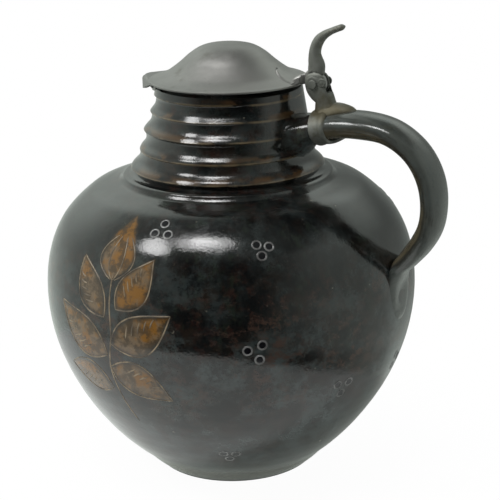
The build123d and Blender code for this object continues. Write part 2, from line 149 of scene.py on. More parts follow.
class Bench:
    """The modelling bench: the edit steps that the pieces share."""

    @staticmethod
    def clear() -> None:
        """Leaves edit mode and deselects everything."""
        if bpy.context.mode != "OBJECT":
            bpy.ops.object.mode_set(mode="OBJECT")
        bpy.ops.object.select_all(action="DESELECT")

    @staticmethod
    def pick(piece: bpy.types.Object) -> None:
        """Makes a piece the only one selected.

        Args:
            piece: The piece.
        """
        Bench.clear()
        piece.select_set(True)
        bpy.context.view_layer.objects.active = piece

    @staticmethod
    def chain(name: str, points: Sequence[Vector]) -> bpy.types.Object:
        """A chain of edges through points, in edit mode, with its last vertex selected.

        Args:
            name: The piece's name.
            points: Places in millimetres.

        Returns:
            The piece, still in edit mode.
        """
        Bench.clear()
        bpy.ops.mesh.primitive_plane_add(size=MM, location=points[0] * MM)
        piece = bpy.context.object
        piece.name = name
        bpy.ops.object.mode_set(mode="EDIT")
        bpy.ops.mesh.merge(type="CENTER")
        for here, there in pairwise(points):
            bpy.ops.mesh.extrude_vertices_move(TRANSFORM_OT_translate={"value": (there - here) * MM})
        return piece

    @staticmethod
    def lathe(name: str, outline: Sequence[Row], steps: int, centre: float = 0.0) -> bpy.types.Object:
        """Turns an outline of (radius, height) about an upright axis and closes its poles.

        Args:
            name: The piece's name.
            outline: Points of the outline in order.
            steps: Steps round the turn.
            centre: X of the axis.

        Returns:
            The turned piece.
        """
        piece = Bench.chain(name, [Vector((centre + radius, 0, height)) for radius, height in outline])
        bpy.ops.mesh.select_all(action="SELECT")
        bpy.ops.mesh.spin(steps=steps, angle=math.tau, center=(centre * MM, 0, 0), axis=(0, 0, 1))
        Bench.close()
        return piece

    @staticmethod
    def close() -> None:
        """Merges doubles, turns the faces outwards and leaves edit mode."""
        bpy.ops.mesh.select_all(action="SELECT")
        bpy.ops.mesh.remove_doubles(threshold=0.002 * MM)
        bpy.ops.mesh.normals_make_consistent(inside=False)
        bpy.ops.object.mode_set(mode="OBJECT")

    @staticmethod
    def tube(name: str, around: int, along: int, capped: bool = True) -> bpy.types.Object:
        """An upright tube of radius 1, one unit long for each step, to be shaped by mould().

        Args:
            name: The piece's name.
            around: Corners of its section.
            along: Steps along its length.
            capped: Whether its ends are closed.

        Returns:
            The tube, in units that mould() reads.
        """
        Bench.clear()
        fill = "NGON" if capped else "NOTHING"
        bpy.ops.mesh.primitive_circle_add(vertices=around, radius=1, fill_type=fill, location=(0, 0, 0))
        piece = bpy.context.object
        piece.name = name
        bpy.ops.object.mode_set(mode="EDIT")
        bpy.ops.mesh.select_all(action="SELECT")
        for _ in range(along):
            bpy.ops.mesh.extrude_region_move(TRANSFORM_OT_translate={"value": (0, 0, 1)})
        Bench.close()
        return piece

    @staticmethod
    def sheet(name: str, across: int, along: int) -> bpy.types.Object:
        """A flat grid over the unit square, to be shaped by mould().

        Args:
            name: The piece's name.
            across: Faces along X.
            along: Faces along Y.

        Returns:
            The grid, in units that mould() reads.
        """
        Bench.clear()
        bpy.ops.mesh.primitive_grid_add(
            x_subdivisions=across, y_subdivisions=along, size=1, location=(0.5, 0.5, 0), calc_uvs=False
        )
        piece = bpy.context.object
        piece.name = name
        bpy.ops.object.transform_apply(location=True, rotation=True, scale=True)
        return piece

    @staticmethod
    def slab(name: str, outline: Sequence[Row], low: float, high: float) -> bpy.types.Object:
        """A flat plate whose outline lies in the XZ plane.

        Args:
            name: The piece's name.
            outline: Corners (x, z) in order.
            low: Y of its near face.
            high: Y of its far face.

        Returns:
            The plate.
        """
        piece = Bench.chain(name, [Vector((x, low, z)) for x, z in outline])
        bpy.ops.mesh.select_all(action="SELECT")
        bpy.ops.mesh.edge_face_add()
        bpy.ops.mesh.extrude_region_move(TRANSFORM_OT_translate={"value": (0, (high - low) * MM, 0)})
        Bench.close()
        return piece

    @staticmethod
    def mould(piece: bpy.types.Object, shape: Shape, unit: float = 1.0) -> bpy.types.Object:
        """Moves each vertex by hand, by a rule.

        Args:
            piece: The piece, at the origin.
            shape: Gives the place in millimetres of a vertex.
            unit: Millimetres in a unit of the mesh as it stands.

        Returns:
            The piece, in metres.
        """
        for vertex in piece.data.vertices:
            vertex.co = shape(vertex.co * unit) * MM
        piece.data.update()
        return piece

    @staticmethod
    def settle(piece: bpy.types.Object) -> None:
        """Puts the piece's origin at the frame's, with its place in its mesh."""
        Bench.pick(piece)
        bpy.ops.object.transform_apply(location=True, rotation=True, scale=True)

    @staticmethod
    def modify(piece: bpy.types.Object, kind: str, **settings: object) -> None:
        """Adds a modifier with its settings and applies it.

        Args:
            piece: The piece.
            kind: The modifier's type.
            settings: Its properties.
        """
        Bench.pick(piece)
        modifier = piece.modifiers.new(kind.title(), kind)
        for name, value in settings.items():
            setattr(modifier, name, value)
        bpy.ops.object.modifier_apply(modifier=modifier.name)

    @staticmethod
    def outward(piece: bpy.types.Object) -> None:
        """Turns the faces outwards.

        Args:
            piece: A closed piece, or one whose faces meet.
        """
        Bench.pick(piece)
        bpy.ops.object.mode_set(mode="EDIT")
        bpy.ops.mesh.select_all(action="SELECT")
        bpy.ops.mesh.normals_make_consistent(inside=False)
        bpy.ops.object.mode_set(mode="OBJECT")

    @staticmethod
    def cut(piece: bpy.types.Object, *tools: bpy.types.Object) -> None:
        """Takes the tools' shapes out of a piece and clears the tools away.

        Args:
            piece: The piece that is cut.
            tools: Closed shapes, used up by the cut.
        """
        for tool in tools:
            Bench.modify(piece, "BOOLEAN", object=tool, operation="DIFFERENCE", solver="EXACT")
            bpy.data.objects.remove(tool)

    @staticmethod
    def join(name: str, pieces: Sequence[bpy.types.Object]) -> bpy.types.Object:
        """Joins pieces into one of that name.

        Args:
            name: The name of the whole.
            pieces: The pieces; the first one stays.

        Returns:
            The joined piece.
        """
        Bench.pick(pieces[0])
        for piece in pieces[1:]:
            piece.select_set(True)
        bpy.ops.object.join()
        pieces[0].name = name
        return pieces[0]

    @staticmethod
    def copy(piece: bpy.types.Object) -> bpy.types.Object:
        """A copy with a mesh of its own.

        Args:
            piece: The piece that is copied.

        Returns:
            The copy.
        """
        Bench.pick(piece)
        bpy.ops.object.duplicate(linked=False)
        return bpy.context.object

    @staticmethod
    def barrel(name: str, x: float, z: float, radius: float, half: float) -> bpy.types.Object:
        """A cylinder that lies along Y.

        Args:
            name: Its name.
            x: X of its axis.
            z: Z of its axis.
            radius: Its radius.
            half: Half its length.

        Returns:
            The cylinder, in metres.
        """
        Bench.clear()
        bpy.ops.mesh.primitive_cylinder_add(
            vertices=64, radius=radius * MM, depth=2 * half * MM, location=(x * MM, 0, z * MM)
        )
        piece = bpy.context.object
        piece.name = name
        bpy.ops.transform.rotate(value=math.pi / 2, orient_axis="X", center_override=piece.location)
        Bench.settle(piece)
        return piece

    @staticmethod
    def bar(
        name: str, stations: Sequence[Station], around: int, per_span: int, capped: bool = True
    ) -> bpy.types.Object:
        """A bar in the XZ plane that follows stations, each with its own section.

        Args:
            name: The piece's name.
            stations: Sections from end to end.
            around: Corners of the section.
            per_span: Steps from station to station.
            capped: Whether its ends are closed.

        Returns:
            The bar, in metres.
        """
        rows = smooth([station.row() for station in stations], per_span)
        line = [Vector((row[0], 0, row[1])) for row in rows]
        last = len(rows) - 1

        def shape(co: Vector) -> Vector:
            """Place of a vertex of the straight tube."""
            k = min(last, max(0, round(co.z)))
            run = (line[min(last, k + 1)] - line[max(0, k - 1)]).normalized()
            out = Vector((-run.z, 0, run.x))
            _, _, thick, wide, square = rows[k]
            power = 2 / square
            flat = math.copysign(abs(co.x) ** power, co.x)
            side = math.copysign(abs(co.y) ** power, co.y)
            return line[k] + out * (thick * flat) + Vector((0, wide * side, 0))

        piece = Bench.tube(name, around, last, capped)
        Bench.mould(piece, shape)
        Bench.outward(piece)
        return piece


class Value:
    """A socket of a node tree, on which arithmetic adds Math nodes."""

    def __init__(self, tree: "Tree", socket: bpy.types.NodeSocket) -> None:
        """Wraps a socket."""
        self.tree = tree
        self.socket = socket

    def _math(self, operation: str, *others: "Value | float") -> "Value":
        """A Math node on this value and others."""
        return self.tree.node("Math", {"operation": operation}, {i: v for i, v in enumerate((self, *others))})

    def __add__(self, other: "Value | float") -> "Value":
        """Sum."""
        return self._math("ADD", other)

    __radd__ = __add__

    def __sub__(self, other: "Value | float") -> "Value":
        """Difference."""
        return self._math("SUBTRACT", other)

    def __rsub__(self, other: float) -> "Value":
        """Difference from a number."""
        return self.tree.node("Math", {"operation": "SUBTRACT"}, {0: other, 1: self})

    def __mul__(self, other: "Value | float") -> "Value":
        """Product."""
        return self._math("MULTIPLY", other)

    __rmul__ = __mul__

    def __truediv__(self, other: "Value | float") -> "Value":
        """Quotient."""
        return self._math("DIVIDE", other)

    def __abs__(self) -> "Value":
        """Size without its sign."""
        return self._math("ABSOLUTE")

    def __pow__(self, other: float) -> "Value":
        """Power."""
        return self._math("POWER", other)

    def arcsine(self) -> "Value":
        """Angle in radians whose sine this value is."""
        return self._math("ARCSINE")

    def angle(self, along: "Value") -> "Value":
        """Angle in radians whose tangent is this value over another."""
        return self._math("ARCTAN2", along)

    def larger(self, other: "Value | float") -> "Value":
        """The larger of two."""
        return self._math("MAXIMUM", other)

    def step(self, low: float, high: float) -> "Value":
        """Soft step from 0 to 1.

        Args:
            low: Where it is 0.
            high: Where it is 1; the step falls where this is below low.

        Returns:
            The step's value.
        """
        if low > high:
            return 1 - self.step(high, low)
        values = {"Value": self, "From Min": low, "From Max": high}
        return self.tree.node("MapRange", {"interpolation_type": "SMOOTHSTEP"}, values)

    def hump(self, centre: float, reach: float) -> "Value":
        """Soft hump of height 1 about a centre."""
        return abs(self - centre).step(reach, 0)


class Tree:
    """Adds nodes to the tree of a material or a world."""

    def __init__(self, owner: bpy.types.Material | bpy.types.World) -> None:
        """Empties the owner's tree.

        Args:
            owner: The material or world.
        """
        owner.use_nodes = True
        self.owner = owner
        self.tree = owner.node_tree
        self.tree.nodes.clear()

    def node(
        self, kind: str, settings: dict[str, object], values: dict[str | int, object], out: str | int = 0
    ) -> Value:
        """Adds a node.

        Args:
            kind: Its type, without the ShaderNode in front.
            settings: Its properties, set first.
            values: Numbers, colours or values for its sockets.
            out: The output to hand back.

        Returns:
            The output's value.
        """
        node = self.tree.nodes.new("ShaderNode" + kind)
        for name, setting in settings.items():
            setattr(node, name, setting)
        for name, value in values.items():
            socket = node.inputs[name]
            if isinstance(value, Value):
                self.tree.links.new(value.socket, socket)
            elif isinstance(value, tuple) and socket.type == "RGBA":
                socket.default_value = (*value, 1)
            else:
                socket.default_value = value
        return Value(self, node.outputs[out] if node.outputs else node.inputs[0])

    def place(self) -> Value:
        """Object coordinates, in metres."""
        return self.node("TexCoord", {}, {}, "Object")

    def parts(self, vector: Value) -> tuple[Value, Value, Value]:
        """The three numbers of a vector.

        Args:
            vector: The vector.

        Returns:
            X, Y and Z.
        """
        x = self.node("SeparateXYZ", {}, {0: vector}, "X")
        split = x.socket.node
        return x, Value(self, split.outputs["Y"]), Value(self, split.outputs["Z"])

    def stretch(self, vector: Value, scale: tuple[float, float, float]) -> Value:
        """A vector scaled along each axis."""
        return self.node("Mapping", {}, {"Vector": vector, "Scale": scale})

    def speckle(self, vector: Value, scale: float, detail: float = 3.0, rough: float = 0.55) -> Value:
        """Noise from 0 to 1 about a half."""
        values = {"Vector": vector, "Scale": scale, "Detail": detail, "Roughness": rough}
        return self.node("TexNoise", {}, values, "Fac")

    def mix(self, factor: Value | float, first: object, second: object) -> Value:
        """A colour between two, first at 0 and second at 1."""
        settings = {"data_type": "RGBA", "clamp_factor": True}
        return self.node("Mix", settings, {0: factor, 6: first, 7: second}, 2)

    def shade(self, **sockets: object) -> None:
        """Ends a material in a Principled shader.

        Args:
            sockets: Values of its sockets, with underscores for the spaces in their names.
        """
        values = {name.replace("_", " "): value for name, value in sockets.items()}
        shader = self.node("BsdfPrincipled", {}, values)
        self.node("OutputMaterial", {}, {"Surface": shader})

    def relief(self, height: Value, depth: float) -> Value:
        """Normal of a surface whose height, from 0 to 1, stands for a depth in metres."""
        return self.node("Bump", {}, {"Height": height, "Distance": depth, "Strength": 1.0})


Colour = tuple[float, float, float]
BLACK: Colour = (0.0, 0.0, 0.0)
WHITE: Colour = (1.0, 1.0, 1.0)


@dataclass(frozen=True)
class Leaf:
    """A painted leaf on the belly, in millimetres along and up the wall from the middle of its spray."""

    along: float
    up: float
    turn: float
    length: float
    width: float
    curl: float = 0.0

    def spot(self, share: float, side: float) -> tuple[float, float]:
        """A point of the leaf.

        Args:
            share: From -1 at the stalk to 1 at the tip.
            side: From -1 at one edge to 1 at the other.

        Returns:
            The point, along and up.
        """
        across = side * self.half(share) + self.curl * self.length * share * share
        run = share * self.length / 2
        cos, sin = math.cos(self.turn), math.sin(self.turn)
        return self.along + run * cos - across * sin, self.up + run * sin + across * cos

    def half(self, share: float) -> float:
        """Half its width at a share of its length."""
        return self.width / 2 * (1 - share * share) * (1 - 0.35 * share)

    def mask(self, along: Value, up: Value, soft: float) -> Value:
        """1 on the leaf and 0 off it, with a soft edge.

        Args:
            along: Millimetres along the wall.
            up: Millimetres up the wall.
            soft: Width of the soft edge.

        Returns:
            The mask.
        """
        cos, sin = math.cos(self.turn), math.sin(self.turn)
        u, v = along - self.along, up - self.up
        share = (u * cos + v * sin) / (self.length / 2)
        across = v * cos - u * sin - share * share * (self.curl * self.length)
        half = (1 - share * share).larger(-1) * (1 - share * 0.35).larger(0.2) * (self.width / 2)
        return (half - abs(across)).step(0, soft)


@dataclass(frozen=True)
class Spray:
    """An upright spray of broad leaves with a bell flower, painted on the belly."""

    bearing: float
    height: float
    radius: float = 104.0

    def leaves(self) -> list[Leaf]:
        """The leaves, from the lowest up.

        Returns:
            The leaves.
        """
        rows = (
            (-22, -34, 3.0, 38, 18, 0.05),
            (17, -31, -0.4, 40, 20, -0.05),
            (-23, -9, 2.6, 44, 22, -0.06),
            (20, -3, 0.5, 42, 21, 0.06),
            (-16, 17, 2.2, 37, 18, -0.05),
            (16, 22, 0.95, 35, 18, 0.05),
        )
        return [Leaf(*row) for row in rows]

    def flower(self) -> Leaf:
        """The bell flower at the top."""
        return Leaf(0, 38, math.pi / 2, 30, 24, 0.0)

    def stem(self) -> list[tuple[float, float]]:
        """The stem, as points along and up."""
        return [(6, -62), (1, -45), (-2, -25), (1, -5), (0, 12), (0, 26)]


@dataclass(frozen=True)
class GlazeFinish:
    """Dark, glossy stoneware glaze, mottled brown and olive, thin on the edges.

    The haze lies below the height hazy, the warm colours keep off the shoulder and the rust keeps to the
    waist, both given as a height and a reach. Crests are the heights of the neck's sharp edges, and bow is
    the middle of the handle's bow, about which the run is painted grey outside as a painted reflection
    and dark along the middle as a painted shade line. All of them are in millimetres.
    """

    name: str = "dark_glaze"
    black: Colour = (0.0030, 0.0034, 0.0036)
    brown: Colour = (0.011, 0.0075, 0.0055)
    oxblood: Colour = (0.014, 0.0065, 0.005)
    olive: Colour = (0.009, 0.012, 0.0085)
    edge: Colour = (0.10, 0.075, 0.045)
    clay: Colour = (0.28, 0.28, 0.24)
    fleck: Colour = (0.05, 0.045, 0.035)
    haze: Colour = (0.036, 0.045, 0.045)
    rust: Colour = (0.040, 0.023, 0.017)
    speck: Colour = (0.16, 0.15, 0.12)
    smear: Colour = (0.05, 0.028, 0.013)
    hazy: float = 150.0
    shoulder: tuple[float, float] = (153.0, 27.0)
    waist: tuple[float, float] = (100.0, 62.0)
    roughness: float = 0.115
    grain: float = 0.05
    crests: tuple[float, ...] = ()
    foot_height: float = 0.0
    bow: tuple[float, float] | None = None
    bow_radius: float = 40.0
    bow_start: tuple[float, float] = (60.0, 68.0)
    # Run colours of the handle: olive inside the bow, and grey outside it, which is a painted reflection of
    # the bright wall.
    inner: Colour = (0.068, 0.057, 0.036)
    outer: Colour = (0.048, 0.052, 0.047)
    sprays: tuple[Spray, ...] = ()
    ochre: Colour = (0.15, 0.066, 0.009)
    umber: Colour = (0.04, 0.024, 0.010)
    tan: Colour = (0.12, 0.08, 0.045)

    def build(self) -> bpy.types.Material:
        """Makes the material.

        Returns:
            The material.
        """
        tree = Tree(bpy.data.materials.new(self.name))
        place = tree.place()
        _, _, z = tree.parts(place)
        cloud = tree.speckle(place, 60, 8, 0.75)
        patch = tree.speckle(tree.stretch(place, (1, 1, 1.2)), 130, 8, 0.75)
        streak = tree.speckle(tree.stretch(place, (1, 1, 0.6)), 95, 8, 0.75)
        haze = tree.speckle(place, 46, 10, 0.8)
        bloom = tree.speckle(tree.stretch(place, (1, 1, 1.4)), 21, 6, 0.65)
        dusk = tree.speckle(tree.stretch(place, (1, 1, 1.3)), 33, 8, 0.75)
        grain = tree.speckle(place, 620, 2)
        warm = 1 - z.hump(self.shoulder[0] * MM, self.shoulder[1] * MM) * 0.85
        colour = tree.mix(cloud.step(0.46, 0.6) * warm, self.black, self.brown)
        colour = tree.mix(patch.step(0.5, 0.6) * warm, colour, self.oxblood)
        colour = tree.mix(streak.step(0.53, 0.62) * 0.8, colour, self.olive)
        low = z.step(self.hazy * 1.1 * MM, self.hazy * 0.6 * MM) * 0.65 + 0.35
        colour = tree.mix(haze.step(0.42, 0.6) * low * bloom.step(0.38, 0.56), colour, self.haze)
        middle = z.hump(self.waist[0] * MM, self.waist[1] * MM) * warm
        colour = tree.mix(patch.step(0.44, 0.56) * dusk.step(0.48, 0.6) * middle, colour, self.rust)
        colour = tree.mix(cloud.step(0.5, 0.4) * dusk.step(0.46, 0.38) * 0.8, colour, self.black)
        colour = tree.mix(grain.step(0.64, 0.76) * patch.step(0.4, 0.6) * 0.5, colour, self.fleck)
        spot = tree.speckle(place, 210, 2)
        colour = tree.mix(spot.step(0.74, 0.8) * 0.8, colour, self.speck)
        # On the handle: run colours with a painted reflection and a painted shade line along the bow.
        if self.bow:
            colour = self._run_with_painted_light(tree, colour, place)
        worn = tree.speckle(place, 70)
        smear = tree.speckle(tree.stretch(place, (1, 1, 1.6)), 55, 3)
        for crest in self.crests:
            above = z.hump((crest + 1.6) * MM, 2.6 * MM)
            colour = tree.mix(above * smear.step(0.46, 0.6), colour, self.smear)
            thin = z.hump(crest * MM, 1.0 * MM) * worn.step(0.36, 0.6)
            colour = tree.mix(thin, colour, self.edge)
        if self.foot_height:
            ragged = z + (tree.speckle(place, 30) - 0.5) * 3 * MM
            thin = ragged.step(2.8 * self.foot_height * MM, 0.6 * self.foot_height * MM) * 0.8
            colour = tree.mix(thin, colour, self.clay)
            colour = tree.mix(z.step(2.6 * MM, 1.2 * MM) * 0.55, colour, self.brown)
        for spray in self.sprays:
            colour = self._paint(tree, colour, spray, place)
        peel = tree.speckle(place, 240, 2)
        pimple = tree.speckle(place, 900, 2)
        ripple = tree.speckle(tree.stretch(place, (1, 1, 2.2)), 60, 2)
        normal = tree.relief(peel + ripple * 1.2 + pimple * 0.8, self.grain * MM)
        rough = haze.step(0.4, 0.6) * 0.08 + (self.roughness - 0.03)
        tree.shade(Base_Color=colour, Roughness=rough, IOR=1.5, Normal=normal)
        return tree.owner

    def _run_with_painted_light(self, tree: Tree, colour: Value, place: Value) -> Value:
        """Lets the glaze run thin along the handle, olive inside the bow, and paints light on it: grey
        outside the bow as a painted reflection of the bright wall, and a dark painted shade line along the
        middle.

        Args:
            tree: The material's tree.
            colour: The colour beneath.
            place: Object coordinates.

        Returns:
            The run colour.
        """
        x, _, z = tree.parts(place)
        reach = (x - self.bow[0] * MM).larger(0)
        level = z - self.bow[1] * MM
        radius = (reach * reach + level * level) ** 0.5 / MM
        radius = radius + (tree.speckle(place, 50, 6, 0.7) - 0.5) * 5
        drawn = tree.node("CombineXYZ", {}, {0: radius * 0.35, 1: level.angle(reach) * 1.2})
        streak = tree.speckle(drawn, 1.6, 6, 0.7)
        start, end = self.bow_start
        pale = streak.step(0.3, 0.56) * x.step(start * MM, end * MM) * 0.9
        middle = self.bow_radius
        colour = tree.mix(radius.step(middle + 2, middle - 2) * pale, colour, self.inner)
        # Painted reflection: the outer side of the bow is painted grey, as though lit by the bright wall.
        colour = tree.mix(radius.step(middle - 1, middle + 3) * pale, colour, self.outer)
        # Painted shade: a dark line along the middle of the handle, where its lit and shaded sides meet.
        return tree.mix(radius.hump(middle, 1.6) * 0.7, colour, self.black)

    def _paint(self, tree: Tree, colour: Value, spray: Spray, place: Value) -> Value:
        """Paints a spray over a colour.

        Args:
            tree: The material's tree.
            colour: The colour beneath.
            spray: The spray.
            place: Object coordinates.

        Returns:
            The painted colour.
        """
        x, y, z = tree.parts(place)
        cos, sin = math.cos(spray.bearing), math.sin(spray.bearing)
        front = x * cos + y * sin
        side = y * cos - x * sin
        wander = (tree.speckle(place, 70, 3) - 0.5) * 7
        along = side.angle(front) * spray.radius + wander
        up = (z - spray.height * MM) / MM + (tree.speckle(place, 45, 3) - 0.5) * 6
        wash = tree.speckle(place, 55, 6, 0.7)
        blot = tree.speckle(place, 150, 6, 0.7)
        fill = tree.mix(wash.step(0.44, 0.56), self.tan, self.ochre)
        fill = tree.mix(blot.step(0.46, 0.58) * 0.85, fill, self.umber)
        for leaf in (*spray.leaves(), spray.flower()):
            halo = replace(leaf, length=leaf.length * 1.12, width=leaf.width * 1.2)
            colour = tree.mix(halo.mask(along, up, 6) * 0.55, colour, self.umber)
            colour = tree.mix(leaf.mask(along, up, 4) * wash.step(0.25, 0.48), colour, fill)
        return colour


@dataclass(frozen=True)
class FlatFinish:
    """A dull, thin skin, as of clay in a scratched line."""

    name: str
    light: Colour
    dark: Colour
    roughness: float

    def build(self) -> bpy.types.Material:
        """Makes the material.

        Returns:
            The material.
        """
        tree = Tree(bpy.data.materials.new(self.name))
        place = tree.place()
        grain = tree.speckle(place, 140, 3)
        colour = tree.mix(grain.step(0.35, 0.65), self.dark, self.light)
        normal = tree.relief(grain, 0.05 * MM)
        tree.shade(Base_Color=colour, Roughness=self.roughness, Normal=normal)
        return tree.owner


@dataclass(frozen=True)
class PewterFinish:
    """Cast pewter, dull and tarnished, with scratches and pits.

    It is rubbed paler towards the hinge, over a stretch of X, and crusted about a height, with a reach,
    both in millimetres.
    """

    name: str
    light: Colour
    dark: Colour
    stain: Colour
    stained: float
    metallic: float
    roughness: float
    rubbed: Colour | None = None
    rubbed_from: tuple[float, float] = (2.0, 30.0)
    crusted: tuple[float, float] | None = None

    def build(self) -> bpy.types.Material:
        """Makes the material.

        Returns:
            The material.
        """
        tree = Tree(bpy.data.materials.new(self.name))
        place = tree.place()
        cloud = tree.speckle(place, 34, 4, 0.6)
        fine = tree.speckle(place, 260, 3)
        scratch = tree.speckle(tree.stretch(place, (60, 6, 60)), 14, 3)
        blemish = tree.speckle(place, 90, 4, 0.65)
        colour = tree.mix(cloud.step(0.3, 0.7) * 0.7 + fine.step(0.3, 0.7) * 0.3, self.dark, self.light)
        first = 0.6 - 0.25 * self.stained
        colour = tree.mix(blemish.step(first, first + 0.25), colour, self.stain)
        x, _, z = tree.parts(place)
        if self.crusted:
            height, reach = self.crusted
            crust = z.hump(height * MM, reach * MM) * blemish.step(0.36, 0.56) * 0.85
            colour = tree.mix(crust, colour, self.stain)
        if self.rubbed:
            start, end = self.rubbed_from
            colour = tree.mix(x.step(start * MM, end * MM), colour, self.rubbed)
        height = fine * 0.9 + scratch * 0.12 + cloud * 1.2
        normal = tree.relief(height, 0.06 * MM)
        rough = cloud * 0.16 + fine * 0.08 + (self.roughness - 0.12)
        tree.shade(Base_Color=colour, Roughness=rough, Metallic=self.metallic, Normal=normal)
        return tree.owner


Finish = GlazeFinish | FlatFinish | PewterFinish


@dataclass
class Dresser:
    """Hands finished pieces to the frame."""

    finishes: dict[str, bpy.types.Material]

    def dress(
        self,
        piece: bpy.types.Object,
        material: bpy.types.Material,
        body: Body,
        stands_for: Iterable[str] = (),
        angle: float = 40.0,
    ) -> bpy.types.Object:
        """Smooths a piece, gives it its material and sets it on its body.

        Args:
            piece: The finished mesh.
            material: Its material.
            body: The body that it rides on.
            stands_for: CAD nodes that it replaces.
            angle: Sharpest angle, in degrees, that is shaded smooth.

        Returns:
            The piece.
        """
        Bench.settle(piece)
        bpy.ops.object.shade_smooth_by_angle(angle=math.radians(angle))
        piece.data.materials.clear()
        piece.data.materials.append(material)
        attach(piece, body.value)
        if stands_for:
            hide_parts(*stands_for)
        triangles = sum(len(face.vertices) - 2 for face in piece.data.polygons)
        log.info("%s rides on %s, %d triangles", piece.name, body.value, triangles)
        return piece


@dataclass
class ThrownBody:
    """The thrown body: foot, belly, ringed neck, mouth and pulled lip.

    The luted clay is the slip that fills the neck's rings behind the root of the handle. It ends between
    two heights above and two below, and between two angles from +X on either side.
    """

    belly: float
    rim: float
    foot: float = 47.3
    lip_pull: float = 10.0
    lip_spread: float = 12.0
    lip_root: float = 22.0
    lip_fall: float = 4.4
    mark_depth: float = 0.02
    wobble: float = 0.35
    shrink: float = 0.25
    ridge_height: float = 172.0
    luted_radius: float = 46.6
    luted_taper: float = 0.155
    luted_foot: tuple[float, float] = (190.0, 197.0)
    luted_top: tuple[float, float] = (222.6, 220.6)
    luted_sides: tuple[float, float] = (1.05, 0.55)
    inner_radius: float = 36.0
    steps: int = 224
    crest_heights: tuple[float, ...] = (176.8, 186.7, 197.8, 208.0, 217.0)

    def underside(self) -> list[Row]:
        """Foot ring, turned a little hollow beneath."""
        return [(0.0, 0.9), (36.0, 0.9), (38.5, 0.1), (40.0, 0.0), (44.9, 0.0), (self.foot - 0.3, 0.3)]

    def flank(self) -> list[Row]:
        """Wall from the foot to the ridge on the shoulder.

        Returns:
            Points (radius, height) of the outline.
        """
        belly = self.belly
        lower = [(self.foot, 0.9), (52.3, 5.0), (57.2, 10.0), (64.9, 17.0), (73.4, 26.0), (82.6, 38.0)]
        middle = [(91.35, 52.0), (98.0, 66.0), (102.65, 80.0), (belly - 0.65, 95.0), (belly - 0.1, 111.0)]
        upper = [(belly - 2.1, 127.0), (belly - 6.35, 140.0), (93.9, 150.0), (87.5, 157.0), (82.6, 161.3)]
        return lower + middle + upper + [(77.0, 165.3), (71.5, 167.3), (66.0, 168.5), (62.4, 169.4)]

    def ridge(self) -> list[Row]:
        """Ridge round the shoulder and the cove under the lowest ring."""
        return [(61.5, 170.0), (60.3, 171.3), (59.3, 172.6), (58.3, 173.1), (55.6, 173.5), (53.2, 175.2)]

    def neck(self) -> list[list[Row]]:
        """The rings of the neck, each from its sharp edge to the next.

        Returns:
            Points (radius, height) of each ring's outline.
        """
        first = [(54.9, 176.8), (53.7, 178.4), (52.2, 179.8), (50.8, 181.2), (49.8, 182.7), (49.3, 184.4)]
        second = [(49.5, 186.7), (48.7, 188.2), (47.4, 189.6), (46.3, 191.0), (45.6, 192.6), (45.4, 194.4)]
        third = [(46.7, 197.8), (45.4, 199.45), (43.9, 201.0), (42.7, 202.6), (41.95, 204.4), (41.8, 206.2)]
        fourth = [(42.6, 208.0), (41.3, 209.6), (40.2, 211.0), (39.5, 212.5), (39.15, 214.1), (39.0, 215.6)]
        top = [(40.1, 217.2), (39.7, 218.8), (39.3, 220.2), (38.9, 221.2), (38.1, 222.0)]
        ends = [(49.3, 186.5), (46.1, 197.5), (42.2, 207.7), (39.5, 216.9), (37.5, self.rim - 0.9)]
        return [ring + [end] for ring, end in zip((first, second, third, fourth, top), ends)]

    def inside(self) -> list[Row]:
        """Mouth and hollow, from the rim down to the floor.

        Returns:
            Points (radius, height) of the outline.
        """
        mouth = [(37.1, self.rim - 0.2), (36.6, self.rim), (35.2, self.rim), (34.5, self.rim - 0.4)]
        throat = [(34.1, 223.0), (34.6, 212.0), (38.0, 196.0), (46.5, 178.5), (58.0, 166.5), (76.0, 159.5)]
        hollow = [(92.0, 143.0), (self.belly - 5.4, 111.0), (91.0, 69.0), (78.0, 44.0), (59.0, 21.0)]
        return mouth + throat + hollow + [(42.0, 9.6), (20.0, 7.4), (0.0, 7.0)]

    def outline(self) -> list[Row]:
        """The whole outline, from the middle of the underside to the middle of the floor.

        Returns:
            Points (radius, height) along the smooth outline.
        """
        rows = list(self.underside())
        rows += smooth(self.flank(), 8)
        rows += smooth(self.ridge(), 3)
        for ring in self.neck():
            rows += smooth(ring, 4)
        inside = self.inside()
        rows += inside[:4] + smooth(inside[4:], 5)
        return rows

    def skin(self, point: Vector) -> Vector:
        """Pulls the lip, fills the luted clay in behind the handle's root, shrinks and wobbles the wall a
        little and gives it its throwing marks.

        Args:
            point: A point of the true turned shape, in millimetres.

        Returns:
            Where the potter's hand left it.
        """
        radius = math.hypot(point.x, point.y)
        if radius < 1:
            return point
        bearing = math.atan2(point.y, point.x)
        marks = self.mark_depth * math.sin(point.z * 0.9 + 1.5 * math.sin(bearing)) * rise(4, 25, point.z)
        wobble = noise.noise(point * 0.018) * self.wobble
        change = (marks + wobble - self.shrink) * rise(0.5, 6, point.z)
        if point.z > self.ridge_height:
            change *= 0.5
        outer = Vector((point.x, point.y, 0)) / radius
        if radius > self.inner_radius:
            clay = self.luted_radius - self.luted_taper * (point.z - self.luted_foot[1] - 1)
            luted = rise(*self.luted_sides, abs(bearing)) * rise(*self.luted_foot, point.z)
            change += luted * rise(*self.luted_top, point.z) * max(0.0, clay - radius)
        moved = point + outer * change
        pull = rise(self.rim - self.lip_root, self.rim, point.z) ** 1.4
        spread = max(0.0, 1 - (point.y / self.lip_spread) ** 2) ** 2 if point.x < 0 else 0.0
        moved += Vector((-self.lip_pull * pull * spread, 0, -self.lip_fall * pull * pull * spread))
        return moved

